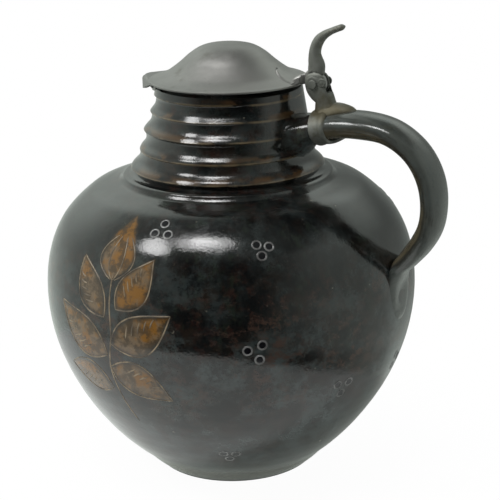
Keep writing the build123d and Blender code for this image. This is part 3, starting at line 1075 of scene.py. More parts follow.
    def wall(self, bearing: float, height: float, up: float = 0.0) -> Vector:
        """Point of the belly's outside.

        Args:
            bearing: Angle from +X, in radians.
            height: Height in millimetres.
            up: Millimetres along the wall, upwards from that height.

        Returns:
            The point in millimetres.
        """
        rows = self._flank_table()
        run = float(np.interp(height, rows[:, 1], rows[:, 2])) + up
        radius = float(np.interp(run, rows[:, 2], rows[:, 0]))
        level = float(np.interp(run, rows[:, 2], rows[:, 1]))
        return self.skin(Vector((radius * math.cos(bearing), radius * math.sin(bearing), level)))

    def _flank_table(self) -> np.ndarray:
        """The flank's outline, worked out once.

        Returns:
            Rows of radius, height and run from the foot.
        """
        if not hasattr(self, "_flank"):
            rows = np.array(smooth(self.flank(), 20))
            steps = np.hypot(*np.diff(rows, axis=0).T)
            self._flank = np.column_stack([rows, np.concatenate([[0], np.cumsum(steps)])])
        return self._flank

    def on_wall(self, bearing: float, height: float, along: float, up: float, proud: float) -> Vector:
        """Point over the belly, placed from a middle by millimetres along, up and out of the wall.

        Args:
            bearing: Angle of the middle.
            height: Height of the middle.
            along: Millimetres round the wall.
            up: Millimetres up.
            proud: Millimetres out.

        Returns:
            The point in millimetres.
        """
        radius = math.hypot(*self.wall(bearing, height).xy)
        angle = bearing + along / radius
        here = self.wall(angle, height, up)
        step = 0.02
        round_wall = self.wall(angle + step, height, up) - self.wall(angle - step, height, up)
        up_wall = self.wall(angle, height, up + 1) - self.wall(angle, height, up - 1)
        return here + round_wall.cross(up_wall).normalized() * proud

    def build(self, dresser: Dresser) -> None:
        """Turns the body and dresses it.

        Args:
            dresser: Hands the finished piece to the frame.
        """
        piece = Bench.lathe("stoneware_body", self.outline(), self.steps)
        Bench.settle(piece)
        Bench.mould(piece, self.skin, 1 / MM)
        dresser.dress(piece, dresser.finishes["glaze"], Body.JUG, ["jug_body"], 60)


@dataclass
class PulledHandle:
    """The pulled handle with its flared root and its pressed-on pad."""

    top: float = 204.6
    bow_x: float = 83.0
    bow_radius: float = 39.6
    belly_x: float = 100.0
    thumb_height: float = 113.0
    thumb_depth: float = 1.8
    pad_bend: float = 250.0
    root_bend: float = 84.0
    wobble: float = 0.25
    around: int = 40

    def bow(self, degrees: float, thick: float, wide: float, out: float = 0.0) -> Station:
        """Station on the bow.

        Args:
            degrees: Angle above the bow's middle.
            thick: Half its thickness.
            wide: Half its width.
            out: Millimetres farther out than the bow's radius.

        Returns:
            The station.
        """
        angle = math.radians(degrees)
        reach = self.bow_radius + out
        x = self.bow_x + reach * math.cos(angle)
        return Station(x, self.top - self.bow_radius + reach * math.sin(angle), thick, wide)

    def stations(self) -> list[Station]:
        """Sections from inside the neck to the tip of the pad.

        Returns:
            The stations.
        """
        root = [
            (36.0, 194.0, 17.5, 23.0),
            (40.5, 195.0, 14.8, 20.8),
            (44.5, 196.4, 12.4, 18.0),
            (49.0, 198.6, 10.2, 15.4),
            (54.0, 200.3, 8.7, 13.9),
            (60.0, 201.9, 7.9, 13.2),
            (68.0, 203.7, 7.5, 13.2),
        ]
        bow = [
            (90, 7.5, 13.4),
            (65, 6.9, 13.2, 0.9),
            (42, 6.5, 13.0, 1.4),
            (20, 6.5, 12.7, 1.4),
            (0, 6.5, 12.3, 1.3),
            (-18, 6.4, 12.0, 1.5),
            (-34, 6.1, 11.8, 1.3),
        ]
        pad = [
            (110.8, 134.3, 5.5, 12.0),
            (105.4, 127.4, 4.6, 12.8),
            (103.9, 120.5, 3.7, 13.6),
            (103.9, 113.0, 3.2, 14.2),
            (104.0, 106.0, 2.8, 12.4),
            (103.9, 100.5, 2.2, 8.6),
            (103.4, 97.0, 1.2, 3.4),
        ]
        return sections(root) + [self.bow(*row) for row in bow] + sections(pad)

    def press(self, point: Vector) -> Vector:
        """Presses the thumb's hollow into the pad and takes the trueness off the rest.

        Args:
            point: A point of the true handle, in millimetres.

        Returns:
            Where the potter's hand left it.
        """
        hollow = bump(self.thumb_height, 13, point.z) * bump(0, 10.5, point.y)
        if point.x <= self.belly_x:
            hollow = 0.0
        wrap = (point.y**2 / self.pad_bend) * rise(138, 122, point.z) * rise(90, 98, point.x)
        wrap += (point.y**2 / self.root_bend) * rise(52, 38, point.x)
        wave = noise.noise(point * 0.045) * self.wobble
        side = Vector((point.x - 60, 0, point.z - 160)).normalized()
        inward = Vector((-self.thumb_depth * hollow - wrap, 0, 0))
        return point + inward + side * (wave * rise(45, 60, point.x))

    def build(self, dresser: Dresser) -> None:
        """Pulls the handle and dresses it.

        Args:
            dresser: Hands the finished piece to the frame.
        """
        piece = Bench.bar("pulled_handle", self.stations(), self.around, 7)
        Bench.mould(piece, self.press, 1 / MM)
        dresser.dress(piece, dresser.finishes["handle"], Body.JUG, ["handle"], 60)


@dataclass
class Mount:
    """The pewter mount on the handle: band, leaf and forked post."""

    pin_x: float
    pin_z: float
    metal: float = 2.2
    leaf_bend: float = 18.0
    slot_radius: float = 7.2
    slot_half: float = 1.95
    pocket_radius: float = 6.65
    pocket_floor: float = -4.6
    pocket_half: float = 3.5
    button_side: float = 4.15

    def band(self) -> bpy.types.Object:
        """Band cast round the root of the handle.

        Returns:
            The piece, in metres.
        """
        rows = [
            (56.7, 201.1, 8.7, 12.9),
            (57.1, 201.2, 9.5, 13.8),
            (58.8, 201.7, 9.7, 14.0),
            (61.8, 202.4, 9.5, 13.8),
            (64.9, 203.0, 9.2, 13.7),
            (65.7, 203.1, 8.4, 12.9),
        ]
        piece = Bench.bar("neck_band", sections(rows), 56, 4, capped=False)
        Bench.modify(piece, "SOLIDIFY", thickness=self.metal * MM, offset=-1)
        Bench.outward(piece)
        return piece

    def seam(self) -> bpy.types.Object:
        """Tail of the casting seam beneath the handle.

        Returns:
            The piece, in metres.
        """
        rows = [
            (58.5, 194.7, 1.2, 3.4),
            (61.5, 194.1, 1.5, 3.6),
            (66.0, 194.7, 1.5, 3.2),
            (70.5, 196.4, 1.1, 2.2),
            (74.0, 197.7, 0.3, 0.6),
        ]
        return Bench.bar("band_seam", sections(rows), 20, 4)

    def leaf(self) -> bpy.types.Object:
        """Leaf that runs out along the top of the handle.

        Returns:
            The piece, in metres.
        """
        rows = [
            (60.0, 211.0, 3.0, 7.6, 2.1),
            (64.0, 211.9, 3.4, 7.4, 2.1),
            (68.5, 212.7, 3.1, 6.6),
            (73.0, 212.6, 2.5, 5.2),
            (77.0, 212.0, 1.7, 3.4),
            (79.4, 211.4, 0.5, 1.2),
        ]
        piece = Bench.bar("band_leaf", sections(rows), 24, 5)
        return Bench.mould(piece, self.wrap, 1 / MM)

    def wrap(self, point: Vector) -> Vector:
        """Bends the leaf down over the round of the handle."""
        return point - Vector((0, 0, point.y**2 / self.leaf_bend))

    def post(self) -> bpy.types.Object:
        """Post with its two cheeks and their round reliefs.

        Returns:
            The piece, in metres.
        """
        x, z = self.pin_x, self.pin_z
        rows = [
            (7.2, -17.0, 8.4, 7.2, 3.0),
            (6.4, -14.6, 6.9, 5.6, 3.4),
            (5.7, -11.6, 5.6, 4.6, 3.6),
            (4.9, -8.0, 5.0, 4.4, 3.6),
            (3.0, -5.0, 6.0, 4.4, 3.6),
            (1.5, -2.2, 6.7, 4.4, 3.4),
            (0.8, 1.0, 6.8, 4.4, 3.2),
            (0.5, 3.6, 6.2, 4.3, 3.0),
            (0.3, 5.3, 4.6, 4.0, 2.6),
            (0.2, 6.35, 1.6, 3.2, 2.0),
        ]
        piece = Bench.bar("hinge_cheeks", sections(rows, x, z), 40, 5)
        Bench.cut(piece, Bench.barrel("slot", x, z, self.slot_radius, self.slot_half))
        Bench.cut(piece, self.pocket())
        buttons = [piece]
        for side in (-1, 1):
            for along, up, radius in ((-0.3, 0.6, 3.9), (5.0, 1.0, 2.5)):
                centre = Vector((x + along, side * self.button_side, z + up))
                buttons.append(self.button(centre, side, radius))
        return Bench.join("hinge_cheeks", buttons)

    def pocket(self) -> bpy.types.Object:
        """The room that the thumb-rest swings down into, round the knuckle.

        Returns:
            The shape to cut away, in metres.
        """
        x, z = self.pin_x, self.pin_z
        floor, top, back = z + self.pocket_floor, z + 9, x + 14
        corners = [(x, floor), (x, top), (back, top), (back, floor)]
        piece = Bench.slab("pocket", corners, -self.pocket_half, self.pocket_half)
        Bench.cut(piece, Bench.barrel("round", x, z, self.pocket_radius, 9.0))
        return piece

    def button(self, centre: Vector, side: int, radius: float) -> bpy.types.Object:
        """A round relief on a cheek.

        Args:
            centre: Its middle on the cheek.
            side: -1 for the near cheek, 1 for the far one.
            radius: Its radius.

        Returns:
            The relief, in metres.
        """
        rows = [(0, -0.6), (radius, -0.6), (radius, 0.0), (radius * 0.9, 0.26), (radius * 0.74, 0.34)]
        rows += [(radius * 0.52, 0.27), (radius * 0.32, 0.36), (radius * 0.14, 0.44), (0, 0.45)]
        piece = Bench.lathe("button", smooth(rows[:3], 1) + smooth(rows[3:], 3), 28)
        Bench.settle(piece)

        def shape(co: Vector) -> Vector:
            """Lays the relief on its side."""
            return centre + Vector((co.x, side * co.z, co.y * -side))

        Bench.mould(piece, shape, 1 / MM)
        Bench.outward(piece)
        return piece

    def build(self, dresser: Dresser) -> None:
        """Casts the mount and dresses it.

        Args:
            dresser: Hands the finished pieces to the frame.
        """
        metal = dresser.finishes["mount"]
        band = Bench.join("neck_band", [self.band(), self.seam()])
        dresser.dress(band, metal, Body.JUG, ["handle_strap"], 50)
        dresser.dress(self.leaf(), metal, Body.JUG, ["strap_leaf"], 60)
        dresser.dress(self.post(), metal, Body.JUG, ["hinge_post"], 35)
        pin = frame["nodes"]["hinge_pin"]
        pin.data.materials.clear()
        pin.data.materials.append(metal)


@dataclass
class PewterLid:
    """The lid with its hood, shank and thumb-rest."""

    pin_x: float
    pin_z: float
    offset: float = 2.0
    radius: float = 44.35
    edge: float = 227.0
    rise: float = 18.0
    skirt: float = 2.5
    skirt_wall: float = 1.6
    seat: float = 225.1
    lean: float = 0.006
    dent_depth: float = 0.5
    hood_tip: float = -45.0
    hood_tip_radius: float = 8.0
    hood_drop: float = 2.8
    hood_depth: float = 11.5
    hood_wall: float = 1.5
    hood_round: float = 2.2
    gap_half: float = 22.0
    tongue_wall: float = 1.8
    tongue_lift: float = 0.42
    tang_half: float = 1.7
    knuckle_radius: float = 6.3
    thumb_seat: float = 6.8
    steps: int = 160

    def outer(self) -> list[Row]:
        """Dome and flange from the crown to the rounded edge.

        Returns:
            Points (radius, height) of the outline.
        """
        shape = [(0.0, 1.0), (0.18, 0.975), (0.34, 0.89), (0.48, 0.69), (0.6, 0.44), (0.7, 0.25)]
        shape += [(0.8, 0.085), (0.97, -0.09)]
        return [(share * self.radius, self.edge + height * self.rise) for share, height in shape]

    def top_at(self, radius: float) -> float:
        """Height of the lid's top.

        Args:
            radius: Distance from the lid's own axis.

        Returns:
            The height in millimetres.
        """
        if not hasattr(self, "_top"):
            self._top = np.array(smooth(self.outer(), 8))
        return float(np.interp(radius, self._top[:, 0], self._top[:, 1]))

    def shell(self) -> bpy.types.Object:
        """The turned lid with its skirt.

        Returns:
            The piece, in metres.
        """
        edge, low, outside = self.edge, self.edge - self.skirt, self.radius
        inside = outside - self.skirt_wall
        rows = smooth(self.outer(), 7)
        rows += [(outside - 0.2, edge - 1.75), (outside, edge - 1.95), (outside, low - 0.1)]
        rows += [(outside - 0.4, low - 0.5), (outside - 1.2, low - 0.6), (inside, low - 0.2)]
        rows += [(inside, self.seat - 0.3), (inside - 0.8, self.seat), (0.74 * outside, self.seat)]
        under = [(0.70, 0.13), (0.6, 0.36), (0.48, 0.61), (0.34, 0.81), (0.18, 0.90), (0.0, 0.93)]
        rows += smooth([(share * outside, self.seat + up * self.rise) for share, up in under], 5)
        piece = Bench.lathe("lid_shell", rows, self.steps, self.offset)
        Bench.settle(piece)
        far, near, floor, top = -60.0, -30.0, edge - 14, self.seat - 0.1
        corners = [(far, floor), (far, top), (near, top), (near, floor)]
        Bench.cut(piece, Bench.slab("hood_gap", corners, -self.gap_half, self.gap_half))
        Bench.mould(piece, self.dent, 1 / MM)
        return piece

    def dent(self, point: Vector) -> Vector:
        """Takes the trueness off the turned lid.

        Args:
            point: A point of the true lid, in millimetres.

        Returns:
            Where wear has left it.
        """
        reach = math.hypot(point.x - self.offset, point.y)
        flat = Vector((point.x, point.y, 0))
        wave = (noise.noise(flat * 0.035) * rise(6, 30, reach) - 0.5) * self.dent_depth
        return self.settle(point + Vector((0, 0, wave * rise(0, 3, point.z - self.edge + 0.5))))

    def settle(self, point: Vector) -> Vector:
        """Leans the worn lid down a little towards its hinge."""
        return point - Vector((0, 0, self.lean * (point.x - self.offset)))

    def hood_path(self, steps: int = 40) -> list[Vector]:
        """Plan of the hood, from the lid's far side round its tip to the near side.

        Args:
            steps: Steps round the tip.

        Returns:
            Points of the plan, in millimetres.
        """
        tip = Vector((self.hood_tip, 0, 0))
        small = self.hood_tip_radius
        lid = Vector((self.offset, 0, 0))
        large = self.radius
        turn = math.acos((large - small) / (tip - lid).length)
        points = []
        for k in range(9):
            angle = math.pi - turn - 0.12 * (8 - k) / 8
            points.append(lid + large * Vector((math.cos(angle), math.sin(angle), 0)))
        for k in range(steps + 1):
            angle = math.pi - turn + 2 * turn * k / steps
            points.append(tip + small * Vector((math.cos(angle), math.sin(angle), 0)))
        for point in reversed(points[:9]):
            points.append(Vector((point.x, -point.y, 0)))
        return points

    def hood_top(self, x: float) -> float:
        """Height of the hood's top along its length."""
        return self.edge - self.hood_drop - 0.6 * rise(-50, -53.5, x)

    def hood_foot(self, x: float) -> float:
        """Height of the hood's lower edge along its length."""
        share = (x + 53.0) / 19.0
        return self.edge - self.hood_depth + 8.2 * min(1.0, max(0.0, share)) ** 0.9

    def hood(self) -> bpy.types.Object:
        """Hood over the pouring lip.

        Returns:
            The piece, in metres.
        """
        path = self.hood_path()
        count = len(path) - 1
        piece = Bench.sheet("pouring_hood", count, 22)
        flat, wall = 0.5, 0.7

        def shape(co: Vector) -> Vector:
            """Lays the sheet over the spine, round the edge and down the wall."""
            rim = path[round(co.x * count)]
            spine = Vector((max(rim.x, self.hood_tip), 0, 0))
            out = (rim - spine).normalized()
            top, foot = self.hood_top(rim.x), self.hood_foot(rim.x)
            soft = min(self.hood_round, 0.5 * (top - foot))
            if co.y <= flat:
                reach = (rim - spine).length - soft
                spot = spine + out * (reach * co.y / flat)
                return Vector((spot.x, spot.y, self.hood_top(spot.x)))
            if co.y <= wall:
                angle = (co.y - flat) / (wall - flat) * math.pi / 2
                spot = rim - out * (soft * (1 - math.sin(angle)))
                return Vector((spot.x, spot.y, top - soft * (1 - math.cos(angle))))
            share = (co.y - wall) / (1 - wall)
            return Vector((rim.x, rim.y, top - soft + share * (foot - top + soft)))

        Bench.mould(piece, shape)
        Bench.pick(piece)
        bpy.ops.object.mode_set(mode="EDIT")
        Bench.close()
        Bench.modify(piece, "SOLIDIFY", thickness=self.hood_wall * MM, offset=-1)
        Bench.mould(piece, self.settle, 1 / MM)
        Bench.outward(piece)
        return piece

    def tongue(self) -> bpy.types.Object:
        """Fan-shaped tongue on the flange, raised along its middle, sunk into the flange at its sides and
        rising to the shank.

        Returns:
            The piece, in metres.
        """
        plan = [(47.2, 0.0, 3.6), (45.5, 0.0, 5.4), (43.0, 0.0, 8.8), (40.5, 0.0, 9.4), (37.0, 0.0, 7.4)]
        plan += [(33.5, 0.0, 4.0), (31.2, 0.0, 1.2), (30.7, 0.0, 0.2)]
        rows = smooth(plan, 6)
        piece = Bench.sheet("shank_tongue", 28, len(rows) - 1)

        def shape(co: Vector) -> Vector:
            """Lays the sheet on the flange."""
            x, _, half = rows[round(co.y * (len(rows) - 1))]
            side = 2 * co.x - 1
            y = half * side
            reach = math.hypot(x - self.offset, y)
            lift = self.tongue_lift - rise(0.6, 1.0, abs(side)) * rise(47, 43, x) - rise(34.0, 30.8, x)
            lift += 2.2 * rise(42.5, 47.5, x)
            return self.settle(Vector((x, y, self.top_at(min(reach, 0.97 * self.radius)) + lift)))

        Bench.mould(piece, shape)
        Bench.outward(piece)
        Bench.modify(piece, "SOLIDIFY", thickness=self.tongue_wall * MM, offset=-1)
        Bench.outward(piece)
        return piece

    def neck(self) -> bpy.types.Object:
        """Bar from the flange to the hinge, with its knuckle.

        Returns:
            The piece, in metres.
        """
        x, z = self.pin_x, self.pin_z
        rows = [
            (-12.0, 0.6, 1.6, 4.2, 3.0),
            (-9.5, 1.5, 2.4, 4.0, 3.0),
            (-7.6, 1.8, 2.8, 3.2, 3.0),
            (-6.6, 2.0, 2.8, 1.75, 4.0),
            (-4.2, 2.6, 3.6, self.tang_half, 4.0),
            (-2.0, 3.6, 4.0, self.tang_half, 4.0),
            (1.5, 3.9, 4.0, self.tang_half, 4.0),
        ]
        bar = Bench.bar("shank", sections(rows, x, z), 32, 4)
        knuckle = Bench.bar("knuckle", self.disc(x, z), 24, 2)
        return Bench.join("shank", [bar, knuckle])

    def disc(self, x: float, z: float) -> list[Station]:
        """Stations of the knuckle, an upright disc as thick as the tang.

        Args:
            x: X of its axis.
            z: Z of its axis.

        Returns:
            The stations.
        """
        radius = self.knuckle_radius
        turns = [math.radians(degrees) for degrees in range(-84, 85, 12)]
        rows = [(0, radius * math.sin(t), radius * math.cos(t), self.tang_half, 6.0) for t in turns]
        return sections(rows, x, z)

    def thumb(self) -> bpy.types.Object:
        """Thumb-rest, a blade that rises from the shank and curls back over the handle.

        Returns:
            The piece, in metres.
        """
        x, z = self.pin_x, self.pin_z
        rows = [
            (0.1, 3.6, 4.3, 3.1, 2.7),
            (0.3, 7.0, 4.7, 3.1, 2.4),
            (0.4, 9.8, 4.75, 3.1, 2.2),
            (-0.2, 12.8, 4.1, 3.2, 2.1),
            (-0.5, 16.0, 3.4, 3.2),
            (0.2, 19.6, 3.1, 3.2),
            (2.0, 23.2, 2.9, 3.1),
            (5.2, 26.2, 2.3, 3.0),
            (9.3, 28.4, 1.8, 2.9),
            (13.2, 30.0, 1.7, 2.7),
            (15.9, 30.9, 1.4, 2.2),
            (17.0, 31.2, 0.5, 0.9),
        ]
        piece = Bench.bar("thumb_rest", sections(rows, x, z), 32, 6)
        Bench.cut(piece, Bench.barrel("barrel", x, z, self.thumb_seat, 9.0))
        return piece

    def build(self, dresser: Dresser) -> None:
        """Casts the lid's pieces and dresses them.

        Args:
            dresser: Hands the finished pieces to the frame.
        """
        metal, dark = dresser.finishes["lid"], dresser.finishes["mount"]
        dresser.dress(self.shell(), metal, Body.LID, ["lid"], 40)
        dresser.dress(self.hood(), metal, Body.LID, ["spout_hood"], 45)
        tongue = Bench.join("shank_tongue", [self.tongue(), self.neck()])
        dresser.dress(tongue, metal, Body.LID, ["lid_shank"], 45)
        dresser.dress(self.thumb(), dark, Body.LID, ["thumb_lift"], 50)


@dataclass
class Decoration:
    """Stamped rings and scratched lines on the belly."""

    wall: ThrownBody
    sprays: tuple[Spray, ...]
    ring: float = 2.8

    def stamps(self) -> list[tuple[float, float, float, float]]:
        """Where the stamped threes stand.

        Returns:
            Bearing in degrees, height, turn in degrees and spread of each three.
        """
        seen = [(-85.7, 160.1, 0.0, 4.3), (-50.9, 152.7, -73.0, 3.8), (-54.8, 102.3, -41.0, 4.7)]
        seen += [(-26.0, 71.8, -62.0, 4.4), (-64.0, 31.2, -63.0, 3.9)]
        unseen = [(5.0, 70.0, 30.0, 4.2), (38.0, 150.0, 0.0, 4.2), (40.0, 92.0, 40.0, 4.2)]
        unseen += [(122.0, 150.0, -30.0, 4.2), (182.0, 120.0, 0.0, 4.2)]
        return seen + unseen

    def ring_outline(self) -> list[Row]:
        """Outline of one stamped ring.

        Returns:
            Points (radius, height) of the outline.
        """
        r = self.ring
        edge = [(r, -0.5), (r, 0.02), (r * 0.95, 0.13), (r * 0.84, 0.2), (r * 0.73, 0.15), (r * 0.65, 0.03)]
        return edge + [(r * 0.63, -0.5)]

    def build_stamps(self, dresser: Dresser) -> None:
        """Stamps the rings and the dark eyes within them.

        Args:
            dresser: Hands the finished pieces to the frame.
        """
        r = self.ring
        outline = self.ring_outline()
        ring = Bench.lathe("ring", outline + outline[:1], 20)
        eye = Bench.lathe("eye", [(0, -0.5), (r * 0.66, -0.5), (r * 0.66, 0.02), (0, 0.05)], 20)
        rings, eyes = [], []
        for bearing, height, turn, spread in self.stamps():
            for k in range(3):
                angle = math.radians(turn + 120 * k + 90)
                spot = (spread * math.cos(angle), spread * math.sin(angle))
                rings.append(self._press(ring, math.radians(bearing), height, spot))
                eyes.append(self._press(eye, math.radians(bearing), height, spot))
        for name, pattern, pieces in (("ring", ring, rings), ("eye", eye, eyes)):
            bpy.data.objects.remove(pattern)
            joined = Bench.join(f"stamped_{name}s", pieces)
            dresser.dress(joined, dresser.finishes[name], Body.JUG, (), 60)

    def _press(
        self, pattern: bpy.types.Object, bearing: float, height: float, spot: tuple[float, float]
    ) -> bpy.types.Object:
        """Presses a copy of a small turned shape onto the wall.

        Args:
            pattern: The shape, about the origin.
            bearing: Bearing of the middle of its three.
            height: Height of that middle.
            spot: Its place along and up from there.

        Returns:
            The copy, in metres.
        """
        piece = Bench.copy(pattern)
        Bench.settle(piece)

        def shape(co: Vector) -> Vector:
            """Lays the shape on the wall."""
            return self.wall.on_wall(bearing, height, spot[0] + co.x, spot[1] + co.y, co.z)

        Bench.mould(piece, shape, 1 / MM)
        Bench.outward(piece)
        return piece

    def line(self, spray: Spray, spots: Sequence[Row], width: float, per_span: int) -> bpy.types.Object:
        """A scratched line on the wall.

        Args:
            spray: The spray that it belongs to.
            spots: Points along and up from the spray's middle.
            width: The line's width.
            per_span: Steps from point to point.

        Returns:
            The line as a thin closed ribbon, in metres.
        """
        rows = smooth(spots, per_span)
        last = len(rows) - 1

        def shape(co: Vector) -> Vector:
            """Lays the straight tube along the line."""
            k = min(last, max(0, round(co.z)))
            before, after = rows[max(0, k - 1)], rows[min(last, k + 1)]
            run = Vector((after[0] - before[0], after[1] - before[1])).normalized()
            taper = 0.35 if k in (0, last) else 1.0
            side = width / 2 * co.x * taper
            proud = 0.16 * co.y * taper + 0.02
            along, up = rows[k][0] - run.y * side, rows[k][1] + run.x * side
            return self.wall.on_wall(spray.bearing, spray.height, along, up, proud)

        piece = Bench.tube("line", 8, last)
        Bench.mould(piece, shape)
        Bench.outward(piece)
        return piece

    def build_lines(self, dresser: Dresser) -> None:
        """Scratches the sprays' outlines, veins and combed strokes.

        Args:
            dresser: Hands the finished piece to the frame.
        """
        lines = []
        for spray in self.sprays:
            lines.append(self.line(spray, spray.stem(), 0.9, 5))
            for leaf in spray.leaves():
                shares = [-1 + 0.2 * k for k in range(11)]
                for side in (-1, 1):
                    lines.append(self.line(spray, [leaf.spot(share, side) for share in shares], 0.75, 2))
                for k in range(5):
                    share = -0.45 + 0.2 * k
                    ends = ((share, 0.15), (share + 0.09, 0.4), (share + 0.2, 0.66))
                    lines.append(self.line(spray, [leaf.spot(*end) for end in ends], 0.8, 2))
            flower = spray.flower()
            for side in (-1, -0.4, 0.4, 1):
                spots = [flower.spot(-0.95 + 0.27 * k, side) for k in range(7)]
                lines.append(self.line(spray, spots, 0.75, 2))
        joined = Bench.join("scratched_lines", lines)
        dresser.dress(joined, dresser.finishes["line"], Body.JUG, (), 60)


@dataclass(frozen=True)
class Window:
    """A window light, oval and soft at its edge.

    It stands at a bearing and a height in degrees, from +X and above the horizon. Its size is in metres for
    each metre of distance, its turn in degrees in its own plane, and its glow is 1 for white paper.
    """

    name: str
    bearing: float
    height: float
    size: tuple[float, float]
    turn: float
    glow: float


@dataclass
class Studio:
    """Pale floor, white surround, two soft windows with their bright panes, and the camera."""

    eye: tuple[float, float, float] = (0.3694, -0.6708, 0.3660)
    target: tuple[float, float, float] = (0.0099, 0.00526, 0.1240)
    roll: float = -1.5
    lens: float = 100.0
    sensor: float = 36.0
    stand_centre: tuple[float, float] = (-0.040, -0.085)
    stand_radius: float = 0.228
    floor_radius: float = 4.0
    lamp_distance: float = 6.0
    lamp_centre: tuple[float, float, float] = (0.0, 0.0, 0.13)
    tint: Colour = (0.92, 1.0, 0.93)
    windows: tuple[Window, ...] = (
        Window("left_window", -134.8, 52.0, (0.33, 0.25), -31, 9.0),
        Window("left_pane", -134.8, 52.0, (0.23, 0.17), -31, 32.0),
        Window("right_window", -98.0, 70.2, (0.50, 0.25), 20, 6.5),
        Window("right_pane", -98.0, 70.4, (0.25, 0.14), 12, 8.5),
    )

    @staticmethod
    def aim(item: bpy.types.Object, place: Vector, back: Vector, turn: float) -> None:
        """Stands a camera or a lamp at its place.

        Args:
            item: The camera or lamp.
            place: Where it stands.
            back: Direction, of length 1, that its back faces.
            turn: Degrees that it is turned in its own plane.
        """
        side = Vector((0, 0, 1)).cross(back).normalized()
        up = back.cross(side)
        cos, sin = math.cos(math.radians(turn)), math.sin(math.radians(turn))
        side, up = cos * side + sin * up, cos * up - sin * side
        item.matrix_world = Matrix.Translation(place) @ Matrix((side, up, back)).transposed().to_4x4()

    def camera(self) -> None:
        """Sets the camera where the photograph was taken from."""
        eye = Vector(self.eye)
        Bench.clear()
        bpy.ops.object.camera_add(location=eye)
        camera = bpy.context.object
        self.aim(camera, eye, (eye - Vector(self.target)).normalized(), self.roll)
        camera.data.lens = self.lens
        camera.data.sensor_width = self.sensor
        camera.data.clip_start = 0.01
        bpy.context.scene.camera = camera

    def light(self, window: Window) -> None:
        """Hangs the area light of a window.

        Args:
            window: The window.
        """
        bearing, height = math.radians(window.bearing), math.radians(window.height)
        level = math.cos(height)
        out = Vector((level * math.cos(bearing), level * math.sin(bearing), math.sin(height)))
        place = out * self.lamp_distance + Vector(self.lamp_centre)
        Bench.clear()
        bpy.ops.object.light_add(type="AREA", location=place)
        lamp = bpy.context.object
        lamp.name = window.name
        self.aim(lamp, place, out, window.turn)
        lamp.data.shape = "ELLIPSE"
        lamp.data.size, lamp.data.size_y = (side * self.lamp_distance for side in window.size)
        lamp.data.energy = window.glow * math.pi * lamp.data.size * lamp.data.size_y
        lamp.visible_camera = False

    def surround(self, bearing: Value, height: Value) -> Value:
        """Brightness of the room by direction.

        Args:
            bearing: Degrees from the camera's side, to its right.
            height: Degrees above the horizon.

        Returns:
            Brightness, where 1 is white paper.
        """
        left = bearing.step(-27, -84) * 0.93 * height.step(72, 26)
        right = (bearing - height * 0.35).step(5, 65) * height.step(56, 42)
        right = right * (height.step(10, 35) * 0.16 + 0.7)
        ceiling = height.step(40, 60) * 0.24 * bearing.step(105, 60)
        high_left = bearing.hump(-150, 46) * height.hump(40, 38) * 1.1
        high_right = bearing.hump(148, 46) * height.hump(36, 26) * 0.6
        behind = 1 - bearing.step(100, 150) * height.step(40, 15) * 0.6 - bearing.step(-125, -170) * 0.35
        return (left + right) * behind + ceiling + high_left + high_right + 0.015

    def bearing(self, x: Value, y: Value) -> Value:
        """Bearing of a direction, as seen from the camera's side.

        Args:
            x: X of the direction.
            y: Y of the direction.

        Returns:
            The bearing in degrees.
        """
        front = (Vector(self.eye) - Vector(self.target)).xy.normalized()
        ahead = x * front.x + y * front.y
        side = y * front.x - x * front.y
        return side.angle(ahead) * (180 / math.pi)

    def room(self) -> None:
        """World: a pale room with a dark camera side, white to the camera."""
        world = bpy.data.worlds.new("room")
        bpy.context.scene.world = world
        tree = Tree(world)
        x, y, z = tree.parts(tree.node("TexCoord", {}, {}, "Generated"))
        height = z.arcsine() * (180 / math.pi)
        glow = self.surround(self.bearing(x, y), height)
        seen = tree.node("LightPath", {}, {}, "Is Camera Ray")
        glow = glow + (1 - glow) * seen
        colour = tree.mix(seen, self.tint, WHITE)
        shader = tree.node("Background", {}, {"Color": colour, "Strength": glow})
        tree.node("OutputWorld", {}, {"Surface": shader})

    def floor(self) -> None:
        """Pale floor with a round white stand, white to the camera but for the shadow, with painted shade and
        a painted glow where it is seen in reflections.
        """
        Bench.clear()
        bpy.ops.mesh.primitive_circle_add(vertices=96, radius=self.floor_radius, fill_type="NGON")
        floor = bpy.context.object
        floor.name = "floor"
        tree = Tree(bpy.data.materials.new("pale_floor"))
        x, y, _ = tree.parts(tree.place())
        across, ahead = x - self.stand_centre[0], y - self.stand_centre[1]
        radius = (across * across + ahead * ahead) ** 0.5
        stand = self.stand_radius
        beyond = radius.step(stand - 0.012, stand + 0.012)
        glossy = tree.node("LightPath", {}, {}, "Is Glossy Ray")
        seen = tree.node("LightPath", {}, {}, "Is Camera Ray")
        level = x * 0
        bearing = self.bearing(x, y)
        # Painted shade: in reflections the floor is painted darker to the sides of the jug and behind it.
        shade = 1 - glossy * 0.45 * abs(bearing).step(60, 150)
        paper = tree.node("BsdfDiffuse", {}, {"Color": tree.mix(shade, (0.3, 0.3, 0.3), (0.85, 0.85, 0.85))})
        # Painted light: in reflections the floor glows a little, most near the middle of the stand.
        near = radius.step(stand, 0.06) * 0.7 + 0.3
        lift = tree.node("Emission", {}, {"Color": tree.mix(glossy * near * 0.3, BLACK, self.tint)})
        paper = tree.node("AddShader", {}, {0: paper, 1: lift})
        narrow = bearing.hump(30, 40) * 0.9 + bearing.step(45, 65) * bearing.step(110, 90) * 0.3
        gap = radius.step(stand + 0.09, stand + 0.04) * narrow
        around = self.surround(bearing, level) * (1 - gap)
        glow = tree.node("Emission", {}, {"Color": tree.mix(around, BLACK, self.tint)})
        veil = tree.node("Emission", {}, {"Color": WHITE})
        first = tree.node("MixShader", {}, {0: beyond * glossy, 1: paper, 2: glow})
        clear = radius.step(0.08, 0.3) * 0.03 + 0.97
        last = tree.node("MixShader", {}, {0: seen * clear, 1: first, 2: veil})
        tree.node("OutputMaterial", {}, {"Surface": last})
        floor.data.materials.append(tree.owner)

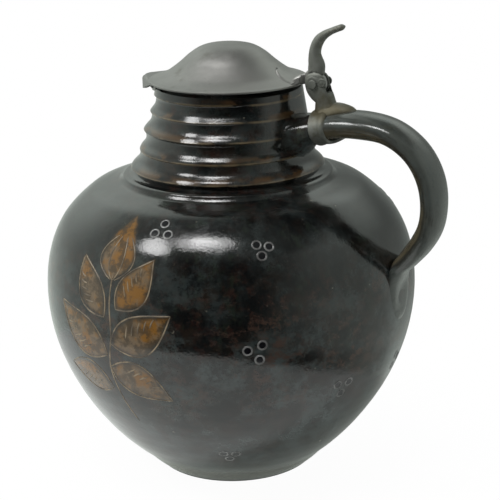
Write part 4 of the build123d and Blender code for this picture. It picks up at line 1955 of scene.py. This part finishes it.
    def build(self) -> None:
        """Sets the studio up."""
        self.camera()
        self.room()
        self.floor()
        for window in self.windows:
            self.light(window)
        bpy.context.scene.view_settings.view_transform = "Standard"


def finishes(thrown: ThrownBody, sprays: tuple[Spray, ...]) -> dict[str, Finish]:
    """The object's finishes by name.

    Args:
        thrown: The body, whose crests wear thin.
        sprays: The painted sprays.

    Returns:
        The finishes.
    """
    return {
        "glaze": GlazeFinish(crests=thrown.crest_heights, foot_height=6.5, sprays=sprays),
        # The handle's glaze carries painted light along its bow: a grey painted reflection outside and a dark
        # painted shade line in the middle.
        "handle": GlazeFinish(
            "handle_glaze",
            black=(0.014, 0.014, 0.012),
            olive=(0.045, 0.046, 0.03),
            hazy=400,
            bow=(83.0, 165.0),
        ),
        "ring": FlatFinish("thin_glaze", (0.145, 0.142, 0.142), (0.06, 0.058, 0.057), 0.25),
        "eye": FlatFinish("pooled_glaze", (0.004, 0.004, 0.006), (0.002, 0.002, 0.003), 0.12),
        "line": FlatFinish("scratched_clay", (0.2, 0.15, 0.095), (0.05, 0.035, 0.022), 0.45),
        "lid": PewterFinish(
            "lid_pewter",
            light=(0.205, 0.202, 0.194),
            dark=(0.15, 0.148, 0.142),
            stain=(0.10, 0.096, 0.084),
            stained=0.14,
            metallic=0.85,
            roughness=0.46,
            rubbed=(0.255, 0.25, 0.24),
        ),
        "mount": PewterFinish(
            "mount_pewter",
            light=(0.19, 0.195, 0.178),
            dark=(0.105, 0.11, 0.095),
            stain=(0.075, 0.064, 0.036),
            stained=0.4,
            metallic=0.65,
            roughness=0.62,
            crusted=(212.0, 9.0),
        ),
    }


def main() -> None:
    """Builds the jug piece by piece and sets up the studio."""
    logging.basicConfig(level=logging.INFO, format="%(message)s")
    _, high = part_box("jug_body")
    joint = frame["joints"][0]["pos_m"]
    pin_x, pin_z = joint[0] / MM, joint[2] / MM
    thrown = ThrownBody(belly=high.y / MM, rim=high.z / MM - 1.5)
    sprays = (Spray(math.radians(-99), 112), Spray(math.radians(82), 112))
    dresser = Dresser({name: finish.build() for name, finish in finishes(thrown, sprays).items()})
    thrown.build(dresser)
    PulledHandle().build(dresser)
    Mount(pin_x, pin_z).build(dresser)
    PewterLid(pin_x, pin_z).build(dresser)
    decoration = Decoration(thrown, sprays)
    decoration.build_stamps(dresser)
    decoration.build_lines(dresser)
    Studio().build()


if __name__ == "__main__":
    main()
